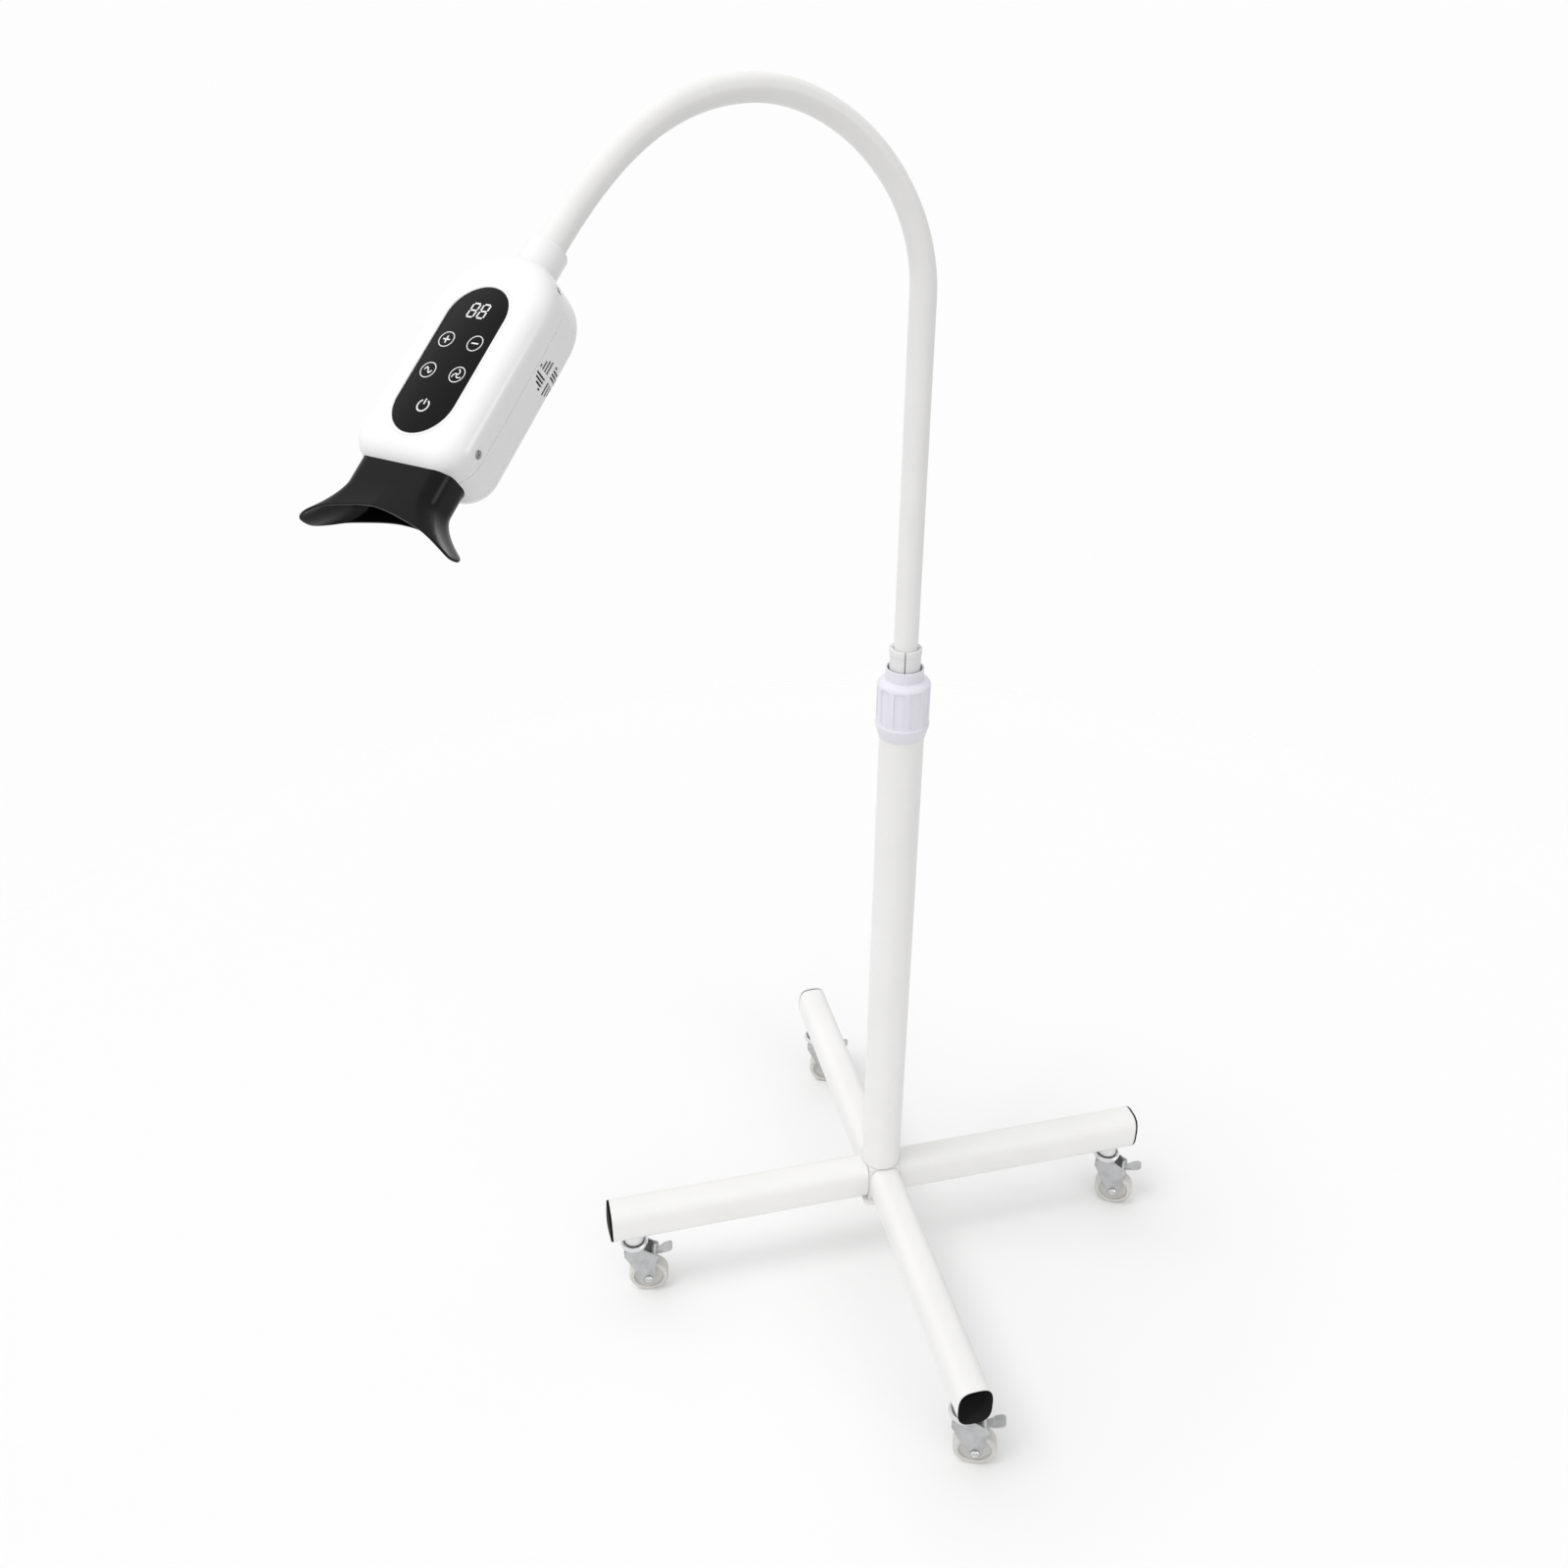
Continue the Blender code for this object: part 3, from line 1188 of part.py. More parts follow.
def display_window(head):
    half_y, half_z = DISPLAY_WIDTH / 2 + GAP, DISPLAY_LENGTH / 2 + GAP
    low = (HEAD_FRONT - HEAD_WALL - OVERRUN, -half_y, DISPLAY_PLACE - half_z)
    return hang(helper(block("display_window", low, (HEAD_FRONT, half_y, DISPLAY_PLACE + half_z))), head)


def grille_slots(name, side, head):
    """Four sectors of parallel slots, the slots of neighbouring sectors at right angles."""
    slots = []
    reach = GRILLE_RADIUS - GRILLE_CROSS_WIDTH / 2
    pitch = reach / GRILLE_SLOTS_PER_SECTOR
    low_y, high_y = HEAD_WIDTH / 2 - HEAD_BACK_ROUND, HEAD_WIDTH / 2 + OVERRUN
    for sector in range(4):
        sign_x = 1 if sector in (0, 3) else -1
        sign_z = 1 if sector in (0, 1) else -1
        for index in range(GRILLE_SLOTS_PER_SECTOR):
            near = GRILLE_CROSS_WIDTH / 2 + pitch * (index + (1 - GRILLE_SLOT_SHARE) / 2)
            far = near + pitch * GRILLE_SLOT_SHARE
            length = math.sqrt(max(GRILLE_RADIUS**2 - far**2, (2 * GRILLE_CROSS_WIDTH) ** 2))
            span = sorted((sign_x * near, sign_x * far))
            run = sorted((sign_z * GRILLE_CROSS_WIDTH / 2, sign_z * length))
            if sector % 2:
                run_x = sorted((sign_x * GRILLE_CROSS_WIDTH / 2, sign_x * length))
                span_z = sorted((sign_z * near, sign_z * far))
            else:
                run_x, span_z = span, run
            y = sorted((side * low_y, side * high_y))
            slot = block(
                f"{name}_{sector}_{index}",
                (FAN_MIDDLE + run_x[0], y[0], -FAN_BELOW_NECK + span_z[0]),
                (FAN_MIDDLE + run_x[1], y[1], -FAN_BELOW_NECK + span_z[1]),
            )
            slots.append(hang(helper(slot), head))
    return slots


def make_shells(head):
    wall_holes, tab_holes, tabs = make_screws(head)
    neck, hood = neck_hole(head), hood_hole(head)
    front = hang(half_shell("front_shell", HEAD_SEAM + GAP / 2, HEAD_FRONT, HEAD_FRONT_ROUND), head)
    join(front, *board_bosses(head))
    cut(front, neck, hood, panel_recess(head), display_window(head), *wall_holes)
    keep(front, SHELL_WHITE)
    back = hang(half_shell("back_shell", HEAD_SEAM - GAP / 2, -HEAD_BACK, HEAD_BACK_ROUND), head)
    join(back, *tabs)
    cut(back, neck, hood, *tab_holes)
    cut(back, *grille_slots("right_slot", 1, head), *grille_slots("left_slot", -1, head))
    keep(back, SHELL_WHITE)


def make_neck_collar(head):
    """Ring at the head's top that the gooseneck ends in, with a flange held inside the shells."""
    bore = GOOSENECK_RADIUS + GAP
    edge = NECK_EDGE_ROUND
    flange_top = -NECK_COLLAR_INSET
    profile = [
        (NECK_COLLAR_RADIUS - edge, NECK_COLLAR_LENGTH),
        (NECK_COLLAR_RADIUS, NECK_COLLAR_LENGTH - edge),
        (NECK_COLLAR_RADIUS, flange_top),
        (NECK_FLANGE_RADIUS, flange_top),
        (NECK_FLANGE_RADIUS, flange_top - NECK_FLANGE),
        (bore, flange_top - NECK_FLANGE),
        (bore, NECK_COLLAR_LENGTH),
    ]
    keep(hang(turned("neck_collar", profile), head), SHELL_WHITE)


def make_panel(head):
    """Black touch panel, the display that shines through it and the board behind."""
    outline = stadium(PANEL_WIDTH / 2, PANEL_LENGTH / 2)
    middle = PANEL_BACK + PANEL_THICKNESS / 2
    keep(standing_plate("control_panel", [outline], PANEL_THICKNESS, head, middle, PANEL_MIDDLE), PANEL_BLACK)
    half_y, half_z = DISPLAY_WIDTH / 2, DISPLAY_LENGTH / 2
    display = block(
        "display_module",
        (DISPLAY_FACE - DISPLAY_DEPTH, -half_y, DISPLAY_PLACE - half_z),
        (DISPLAY_FACE, half_y, DISPLAY_PLACE + half_z),
    )
    keep(hang(display, head), DISPLAY_GREY)
    half_w, half_l = BOARD_WIDTH / 2, BOARD_LENGTH / 2
    board_outline = rounded_rectangle(-half_w, half_w, -half_l, half_l, BOARD_CORNER, CORNER_STEPS)
    board_middle = BOARD_FACE - BOARD_THICKNESS / 2
    board = standing_plate("control_board", [board_outline], BOARD_THICKNESS, head, board_middle, PANEL_MIDDLE)
    keep(board, BOARD_GREEN)


def inner_half_width(height):
    """Half the room between the shells' sides at a height, where the lower corners turn in, less the gap."""
    below = max(HEAD_CORNER_RADIUS - HEAD_LENGTH - height, 0)
    radius = HEAD_CORNER_RADIUS - HEAD_WALL - GAP
    return HEAD_WIDTH / 2 - HEAD_CORNER_RADIUS + math.sqrt(radius**2 - below**2) - GAP


def make_light(head):
    """Light window, LED board and the finned heat sink behind it."""
    front = HEAD_FRONT - HEAD_WALL - GAP
    side = inner_half_width(LENS_TOP - LENS_THICKNESS)
    back = HEAD_INNER_BACK + GAP
    window = plate(
        "light_window",
        [rounded_rectangle(back, front, -side, side, LENS_CORNER, HOOD_CORNER_STEPS)],
        LENS_THICKNESS,
    )
    keep(hang(window, head, (0, 0, LENS_TOP - LENS_THICKNESS / 2)), LENS_CLEAR)
    sink_front = back + SINK_DEPTH
    sink_middle = (back + sink_front) / 2
    half_w, half_d = LED_BOARD_WIDTH / 2, LED_BOARD_DEPTH / 2
    board = block(
        "led_board",
        (sink_middle - half_d, -half_w, LED_BOARD_FOOT),
        (sink_middle + half_d, half_w, LED_BOARD_FOOT + LED_BOARD_THICKNESS),
    )
    hang(board, head)
    for row in range(LED_ROWS):
        for column in range(LED_COLUMNS):
            x = sink_middle + LED_PITCH * (row - (LED_ROWS - 1) / 2)
            y = LED_PITCH * (column - (LED_COLUMNS - 1) / 2)
            low, high = LED_BOARD_FOOT - LED_HEIGHT, LED_BOARD_FOOT + LED_BOARD_THICKNESS / 2
            led = rod_between(f"led_{row}_{column}", (x, y, low), (x, y, high), LED_RADIUS, POST_STEPS)
            join(board, hang(helper(led), head))
    keep(board, LED_WHITE)
    make_heat_sink(head, sink_middle)


def make_heat_sink(head, middle):
    """A comb of fins on a base, extruded from the back of the head to its front."""
    half = LED_BOARD_WIDTH / 2
    top = SINK_BASE + SINK_FIN_LENGTH
    pitch = (2 * half - SINK_FIN_THICKNESS) / (SINK_FINS - 1)
    outline = [(-half, 0), (half, 0)]
    for index in range(SINK_FINS):
        right = half - pitch * index
        left = right - SINK_FIN_THICKNESS
        outline += [(right, top), (left, top)]
        if index < SINK_FINS - 1:
            outline += [(left, SINK_BASE), (right - pitch, SINK_BASE)]
    sink = standing_plate("heat_sink", [outline], SINK_DEPTH, head, middle, SINK_FOOT)
    keep(sink, ALUMINIUM)


def make_fan(head):
    """Square frame with its spokes on the inner side, and the bladed rotor that turns about the head's Y axis."""
    place = (FAN_MIDDLE, FAN_FROM_MIDDLE, -FAN_BELOW_NECK)
    axis = axis_empty("fan_axis", head, place, (-math.pi / 2, 0, 0))
    half = FAN_SIZE / 2
    square = rounded_rectangle(-half, half, -half, half, half * FAN_CORNER_SHARE, EDGE_STEPS)
    bore = arc((0, 0), FAN_BORE_RADIUS, 0, 2 * math.pi, WHEEL_STEPS)[:-1]
    frame = hang(plate("fan_frame", [square, bore], FAN_DEPTH), axis)
    low = -FAN_DEPTH / 2
    for index in range(2):
        reach = FAN_BORE_RADIUS + BITE
        spoke = block(
            f"fan_spoke_{index + 1}",
            (-reach, -FAN_SPOKE_WIDTH / 2, low),
            (reach, FAN_SPOKE_WIDTH / 2, low + FAN_SPOKE_THICKNESS),
        )
        join(frame, hang(helper(spoke), axis, (0, 0, 0), (0, 0, math.pi / 2 * index + math.pi / 4)))
    seat_top = low + FAN_SPOKE_THICKNESS + BITE
    seat = rod_between("fan_seat", (0, 0, low), (0, 0, seat_top), FAN_MOTOR_RADIUS)
    join(frame, hang(helper(seat), axis))
    keep(frame, FAN_BLACK)
    hub_foot = seat_top + GAP
    hub_top = hub_foot + FAN_HUB_LENGTH
    rotor = hang(rod_between("fan_rotor", (0, 0, hub_foot), (0, 0, hub_top), FAN_MOTOR_RADIUS), axis)
    hub_middle = (hub_foot + hub_top) / 2
    tip = FAN_BORE_RADIUS - FAN_BLADE_TIP_GAP
    for index in range(FAN_BLADES):
        half_chord, half_sheet = FAN_BLADE_CHORD / 2, FAN_BLADE_THICKNESS / 2
        blade = block(
            f"fan_blade_{index + 1}",
            (FAN_MOTOR_RADIUS - BITE, -half_chord, -half_sheet),
            (tip, half_chord, half_sheet),
        )
        turn = Matrix.Rotation(2 * math.pi * index / FAN_BLADES, 4, "Z")
        twist = Matrix.Rotation(FAN_BLADE_PITCH, 4, "X")
        blade.data.transform(Matrix.Translation((0, 0, hub_middle)) @ turn @ twist)
        join(rotor, hang(helper(blade), axis))
    keep(rotor, FAN_BLACK)


def hood_section(length):
    """One ring of the hood, as points at a share of the way from the head, 0, to the lip, 1."""
    half = HOOD_WIDTH / 2
    outline = rounded_rectangle(-HOOD_BACK, HOOD_FRONT, -half, half, HOOD_CORNER, HOOD_CORNER_STEPS)
    dense = []
    for index, (x, y) in enumerate(outline):
        after = outline[(index + 1) % len(outline)]
        dense.append((x, y))
        if abs(after[1] - y) > HOOD_CORNER:
            for step in range(1, HOOD_SIDE_STEPS):
                share = step / HOOD_SIDE_STEPS
                dense.append((x + (after[0] - x) * share, y + (after[1] - y) * share))
    bent = max(length - HOOD_FLARE_START_SHARE, 0) / (1 - HOOD_FLARE_START_SHARE)
    flare = bent**HOOD_FLARE_POWER
    middle, half_depth = (HOOD_FRONT - HOOD_BACK) / 2, (HOOD_FRONT + HOOD_BACK) / 2
    points = []
    for x, y in dense:
        across = abs(y) / half
        aside = (x - middle) / half_depth
        far_rise = HOOD_FAR_LIP_RISE * (1 - aside) / 2
        tip_rise = HOOD_TIP_ROUND * aside**2 * across**HOOD_REACH_POWER
        wing = (HOOD_WING_LENGTH - HOOD_MIDDLE_LENGTH) * across**HOOD_REACH_POWER
        reach = HOOD_MIDDLE_LENGTH + wing - far_rise - tip_rise
        spread = HOOD_WING_SPREAD * flare * across**HOOD_SPREAD_POWER
        depth = HOOD_FRONT_FLARE if x > middle else HOOD_BACK_FLARE
        deep = depth * flare * (1 - across)
        points.append((x + math.copysign(deep, aside), y + math.copysign(spread, y), -reach * length))
    return points


def make_hood(head):
    """Black mouth hood: a plug in the head, a trough with a hollowed lip and two flared wings."""
    made = bmesh.new()
    rings = []
    plug = [Vector((x, y, HOOD_PLUG)) for x, y, _ in hood_section(0)]
    rings.append([made.verts.new(point) for point in plug])
    for index in range(HOOD_RINGS + 1):
        rings.append([made.verts.new(point) for point in hood_section(index / HOOD_RINGS)])
    for upper, lower in zip(rings, rings[1:]):
        count = len(upper)
        for i in range(count):
            j = (i + 1) % count
            made.faces.new((upper[j], upper[i], lower[i], lower[j]))
    bmesh.ops.recalc_face_normals(made, faces=made.faces)
    if sum(f.normal.dot(f.calc_center_median()) for f in made.faces) < 0:
        bmesh.ops.reverse_faces(made, faces=made.faces)
    mesh = bpy.data.meshes.new("mouth_hood")
    made.to_mesh(mesh)
    made.free()
    hood = new_object("mouth_hood", mesh)
    solid = hood.modifiers.new("wall", "SOLIDIFY")
    solid.thickness = HOOD_WALL
    solid.offset = -1
    solid.use_even_offset = True
    hang(hood, axis_empty("hood_axis", head, (0, 0, -HEAD_LENGTH)))
    keep(hood, HOOD_BLACK)


def make_head(last_bend):
    """The lamp head, which turns with the last section of the gooseneck."""
    head = axis_empty("head", last_bend, HEAD_ORIGIN - BEND_POINTS[-1], HEAD_TURN)
    make_shells(head)
    make_neck_collar(head)
    make_panel(head)
    make_light(head)
    make_fan(head)
    make_hood(head)


make_hub()
make_legs()
make_casters()
make_column()
make_clamp()
make_head(make_mast())
bpy.context.view_layer.update()
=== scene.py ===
"""The look of the teeth whitening lamp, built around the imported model."""
import json
import math

import bmesh
import bpy
from mathutils import Euler, Matrix, Vector


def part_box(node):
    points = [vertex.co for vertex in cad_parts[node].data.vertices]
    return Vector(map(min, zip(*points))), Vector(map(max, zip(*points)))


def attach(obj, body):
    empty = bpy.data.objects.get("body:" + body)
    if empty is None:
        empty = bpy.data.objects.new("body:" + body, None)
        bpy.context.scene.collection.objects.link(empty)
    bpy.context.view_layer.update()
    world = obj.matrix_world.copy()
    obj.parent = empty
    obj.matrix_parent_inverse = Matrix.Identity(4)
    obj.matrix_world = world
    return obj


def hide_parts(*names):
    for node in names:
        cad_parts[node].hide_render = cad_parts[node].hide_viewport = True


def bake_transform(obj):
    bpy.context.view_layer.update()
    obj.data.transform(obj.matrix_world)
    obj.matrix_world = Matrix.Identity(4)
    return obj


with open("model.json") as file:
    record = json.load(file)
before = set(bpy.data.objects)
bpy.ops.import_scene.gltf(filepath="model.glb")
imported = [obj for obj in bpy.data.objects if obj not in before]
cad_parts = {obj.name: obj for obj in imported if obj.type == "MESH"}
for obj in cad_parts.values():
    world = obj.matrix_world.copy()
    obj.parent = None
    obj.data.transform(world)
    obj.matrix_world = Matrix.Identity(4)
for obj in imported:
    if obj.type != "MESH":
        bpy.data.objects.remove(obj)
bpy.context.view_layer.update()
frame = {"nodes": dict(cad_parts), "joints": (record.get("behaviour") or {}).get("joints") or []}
JOINTS = {joint["name"]: joint for joint in frame["joints"]}

CLEAR = 0.0003
ROUND, MEDIUM, SMALL = 96, 48, 24
WELD, ON_AXIS = 1e-6, 1e-7
CREASE = 0.6
QUARTER = math.pi / 2
STILL = Matrix.Identity(4)


def adjust(made, settings):
    """Sets several properties of a node or modifier."""
    for key, value in settings.items():
        setattr(made, key, value)
    return made


# materials


class Socket:
    """An output of a node, with arithmetic that adds Math nodes to its tree."""

    def __init__(self, tree, output):
        self.tree = tree
        self.output = output

    def maths(self, operation, *values, clamp=False):
        settings = {"operation": operation, "use_clamp": clamp}
        return self.tree.node("ShaderNodeMath", settings, dict(enumerate(values)))

    def __add__(self, other):
        return self.maths("ADD", self, other)

    def __mul__(self, other):
        return self.maths("MULTIPLY", self, other)

    def __rsub__(self, other):
        return self.maths("SUBTRACT", other, self)

    __radd__ = __add__
    __rmul__ = __mul__

    def clamp(self):
        return self.maths("ADD", self, 0, clamp=True)


class Tree:
    """The node tree of a new material or world, with one way to add any node."""

    def __init__(self, name, group=bpy.data.materials):
        self.holder = group.new(name)
        self.holder.use_nodes = True
        self.nodes = self.holder.node_tree.nodes
        self.links = self.holder.node_tree.links

    def fill(self, socket, value):
        if isinstance(value, Socket):
            self.links.new(value.output, socket)
        else:
            socket.default_value = value

    def node(self, kind, settings=None, inputs=None, output=0):
        made = adjust(self.nodes.new(kind), settings or {})
        for key, value in (inputs or {}).items():
            self.fill(made.inputs[key], value)
        return Socket(self, made.outputs[output])

    def place(self):
        return self.node("ShaderNodeTexCoord", output="Object")

    def noise(self, scale, detail=3.0, roughness=0.5, stretch=None):
        where = self.place()
        if stretch:
            where = self.node("ShaderNodeVectorMath", {"operation": "MULTIPLY"}, {0: where, 1: stretch})
        inputs = {"Vector": where, "Scale": scale, "Detail": detail, "Roughness": roughness}
        return self.node("ShaderNodeTexNoise", None, inputs)

    def ramp(self, value, low, high):
        """0 below low, 1 above high."""
        inputs = {"Value": value, "From Min": low, "From Max": high}
        return self.node("ShaderNodeMapRange", {"clamp": True}, inputs)

    def mix(self, share, first, second):
        return self.node("ShaderNodeMix", {"data_type": "RGBA"}, {0: share, 6: first, 7: second}, output=2)

    def bump(self, height, distance):
        return self.node("ShaderNodeBump", None, {"Strength": 1.0, "Distance": distance, "Height": height})

    def set(self, **values):
        for key, value in values.items():
            self.fill(self.nodes["Principled BSDF"].inputs[key.replace("_", " ")], value)
        return self.holder


def rgba(red, green, blue):
    return (red, green, blue, 1)


def grey(value):
    return rgba(value, value, value)


def powder_coat(name, colour, shade, grain=2600, depth=0.00004, roughness=0.3):
    """Baked enamel: a fine orange peel and slight clouds that tint and dull it in patches."""
    tree = Tree(name)
    cloud = tree.noise(9, 4, 0.6)
    peel = tree.noise(grain, 2, 0.5)
    wave = tree.noise(grain / 9, 2, 0.4)
    return tree.set(
        Base_Color=tree.mix(tree.ramp(cloud, 0.42, 0.72), colour, shade),
        Roughness=roughness + cloud * 0.08 + peel * 0.04,
        Specular_IOR_Level=0.5,
        Coat_Weight=0.2,
        Coat_Roughness=0.28,
        Normal=tree.bump(peel * 0.35 + wave * 0.65, depth),
    )


def moulded_plastic(
    name, colour, shade, roughness, coat=0.0, grain=4200, depth=0.00002, scuff=0.1, shine=0.5
):
    """Injection-moulded plastic: a fine texture from the mould, faint flow clouds and small scuffs."""
    tree = Tree(name)
    flow = tree.noise(14, 3, 0.55, stretch=(1, 1, 0.35))
    fine = tree.noise(grain, 2, 0.5)
    scratch = tree.noise(900, 2, 0.7, stretch=(1, 0.06, 0.25))
    worn = tree.ramp(scratch, 0.62, 0.74) * scuff
    return tree.set(
        Base_Color=tree.mix(tree.ramp(flow, 0.35, 0.75), colour, shade),
        Roughness=(roughness + worn + fine * 0.05).clamp(),
        Specular_IOR_Level=shine,
        Coat_Weight=coat,
        Coat_Roughness=0.05,
        Normal=tree.bump(fine * 0.7 + flow * 0.3, depth),
    )


def plated_metal(name, bright, dull, roughness, grain=1500, depth=0.00003, spangle=300):
    """Zinc or nickel plate over pressed steel: cloudy spangle and drawing marks."""
    tree = Tree(name)
    cloud = tree.noise(60, 4, 0.6)
    crystals = tree.node(
        "ShaderNodeTexVoronoi", {"feature": "F1"}, {"Vector": tree.place(), "Scale": spangle}
    )
    drawn = tree.noise(grain, 3, 0.6, stretch=(0.08, 1, 1))
    worn = tree.ramp(cloud, 0.4, 0.7)
    return tree.set(
        Base_Color=tree.mix(worn * 0.6 + crystals * 0.25, bright, dull),
        Metallic=1.0,
        Roughness=(roughness + worn * 0.12 + drawn * 0.08 + crystals * 0.05).clamp(),
        Normal=tree.bump(drawn * 0.6 + crystals * 0.4, depth),
    )


def wheel_nylon():
    """Cast nylon, a little translucent, with fine specks of floor dirt."""
    tree = Tree("caster_nylon")
    cloud = tree.noise(40, 4, 0.6)
    speck = tree.noise(700, 3, 0.7)
    tint = tree.mix(tree.ramp(cloud, 0.4, 0.75), rgba(0.60, 0.59, 0.56), rgba(0.54, 0.525, 0.49))
    dirt = tree.ramp(speck, 0.66, 0.78) * 0.4
    return tree.set(
        Base_Color=tree.mix(dirt, tint, rgba(0.34, 0.32, 0.285)),
        Roughness=0.36 + cloud * 0.1 + dirt * 0.3,
        Subsurface_Weight=0.12,
        Subsurface_Radius=(0.006, 0.005, 0.004),
        Subsurface_Scale=0.5,
        Normal=tree.bump(speck * 0.5 + cloud * 0.5, 0.00003),
    )


def panel_acrylic():
    """Black printed acrylic: a deep gloss with faint haze and fine ridges in patches."""
    tree = Tree("panel_acrylic")
    smear = tree.noise(120, 4, 0.65)
    ridges = tree.noise(1400, 2, 0.6)
    haze = tree.ramp(smear, 0.52, 0.75)
    return tree.set(
        Base_Color=tree.mix(haze * 0.5, rgba(0.003, 0.003, 0.0033), rgba(0.006, 0.006, 0.0063)),
        Roughness=0.3 + haze * 0.1 + ridges * haze * 0.05,
        Specular_IOR_Level=0.12,
        Normal=tree.bump(smear, 0.00001),
    )


def printed_ink():
    """White screen print on the panel, slightly uneven, lit a little from behind."""
    tree = Tree("panel_print")
    cover = tree.noise(1800, 3, 0.6)
    tint = tree.mix(tree.ramp(cover, 0.35, 0.6), rgba(0.55, 0.55, 0.56), grey(0.86))
    return tree.set(
        Base_Color=tint,
        Roughness=0.4 + cover * 0.1,
        Emission_Color=tint,
        Emission_Strength=0.12,
        Normal=tree.bump(cover, 0.00001),
    )


def window_frosted():
    """Frosted window of the light engine."""
    tree = Tree("window_frosted")
    frost = tree.noise(900, 3, 0.6)
    return tree.set(
        Base_Color=tree.mix(frost, rgba(0.42, 0.43, 0.44), rgba(0.58, 0.59, 0.60)),
        Roughness=0.25 + frost * 0.2,
        Specular_IOR_Level=0.6,
        Coat_Weight=0.3,
        Normal=tree.bump(frost, 0.00003),
    )


ENAMEL = powder_coat("white_enamel", rgba(0.82, 0.815, 0.80), rgba(0.79, 0.785, 0.77))
HUB_ENAMEL = powder_coat("hub_enamel", rgba(0.80, 0.795, 0.78), rgba(0.74, 0.735, 0.72))
SHELL = moulded_plastic("shell_gloss_white", grey(0.84), grey(0.825), 0.18, 0.15, 3000, 0.000006, 0.06)
SLEEVE = powder_coat("sleeve_white", rgba(0.83, 0.825, 0.81), rgba(0.80, 0.795, 0.78), 3200, 0.00001, 0.32)
COLLAR = moulded_plastic("collar_white", rgba(0.78, 0.77, 0.83), rgba(0.745, 0.735, 0.80), 0.34, 0.1)
BUSH = moulded_plastic("bush_white", rgba(0.78, 0.775, 0.78), rgba(0.74, 0.735, 0.74), 0.4)
CAP = moulded_plastic("cap_black", grey(0.001), grey(0.002), 0.5, 0.0, 2600, 0.00004, 0.15, 0.04)
HOOD = moulded_plastic(
    "hood_black", rgba(0.0015, 0.0015, 0.0017), rgba(0.003, 0.003, 0.0032), 0.2, 0.0, 3600, 0.00001, 0.12,
    shine=0.16,
)
FAN = moulded_plastic("fan_black", grey(0.008), grey(0.014), 0.5, shine=0.2)
ZINC = plated_metal("zinc_plate", rgba(0.57, 0.575, 0.58), rgba(0.42, 0.425, 0.435), 0.24)
BRIGHT = plated_metal("bright_plate", rgba(0.80, 0.80, 0.81), rgba(0.62, 0.62, 0.63), 0.1, 2400, 0.00001, 500)
SCREW = plated_metal("screw_plate", rgba(0.34, 0.34, 0.35), rgba(0.20, 0.20, 0.21), 0.2, 2400, 0.00001, 500)
ALUMINIUM = plated_metal("plain_aluminium", rgba(0.76, 0.77, 0.78), rgba(0.66, 0.67, 0.68), 0.3)
BOARD = moulded_plastic("board_green", rgba(0.03, 0.17, 0.07), rgba(0.02, 0.12, 0.05), 0.4)
LED_BOARD = moulded_plastic("led_board_white", rgba(0.78, 0.79, 0.80), rgba(0.70, 0.71, 0.73), 0.4)
NYLON = wheel_nylon()
PANEL = panel_acrylic()
PRINT = printed_ink()
WINDOW = window_frosted()

for node, finish in {
    "hub_post": HUB_ENAMEL,
    "column_insert": BUSH,
    "foot_bush": BUSH,
    "hub_plate": ENAMEL,
    "control_board": BOARD,
    "led_board": LED_BOARD,
    "heat_sink": ALUMINIUM,
    "display_module": FAN,
    "fan_frame": FAN,
    "fan_rotor": FAN,
    "light_window": WINDOW,
}.items():
    for material_slot in frame["nodes"][node].material_slots:
        material_slot.material = finish


# outlines and places


def move(x=0.0, y=0.0, z=0.0):
    return Matrix.Translation((x, y, z))


def turned(angle, axis):
    return Matrix.Rotation(angle, 4, axis)


def unit(value):
    return min(max(value, 0), 1)


def arc(centre, radius, start, end, steps):
    angles = [start + (end - start) * i / steps for i in range(steps + 1)]
    return [(centre[0] + radius * math.cos(a), centre[1] + radius * math.sin(a)) for a in angles]


def circle(radius, steps=36):
    return arc((0, 0), radius, 0, 2 * math.pi, steps)[:-1]


def between(start, end, count):
    """The points that divide a straight run into equal parts, without its two ends."""
    (x, y), (end_x, end_y) = start, end
    return [(x + (end_x - x) * k / count, y + (end_y - y) * k / count) for k in range(1, count)]


def rounded(low_x, high_x, low_y, high_y, radius, steps=8):
    """Anticlockwise outline of a rectangle with round corners."""
    centres = (
        (high_x - radius, high_y - radius),
        (low_x + radius, high_y - radius),
        (low_x + radius, low_y + radius),
        (high_x - radius, low_y + radius),
    )
    points = []
    for index, centre in enumerate(centres):
        points += arc(centre, radius, QUARTER * index, QUARTER * (index + 1), steps)
    return points


def risen(profile, height):
    """A profile of (radius, height) points, lifted by the height."""
    return [(radius, height + up) for radius, up in profile]


def mirrored(profile):
    """The profile's points below the middle, in the order that closes it."""
    return [(radius, -height) for radius, height in reversed(profile)]


def level(outline, z):
    """An (X, Y) outline at this height."""
    return [Vector((x, y, z)) for x, y in outline]


def upright(outline, x, lift=0.0):
    """A (Y, Z) outline on a plane across X, lifted by the last value."""
    return [Vector((x, y, z + lift)) for y, z in outline]


# mesh helpers


def placed(name, data):
    """A new object in the scene."""
    made = bpy.data.objects.new(name, data)
    bpy.context.scene.collection.objects.link(made)
    return made


def shade(mesh, angle=CREASE):
    mesh.shade_smooth()
    mesh.set_sharp_from_angle(angle=angle)


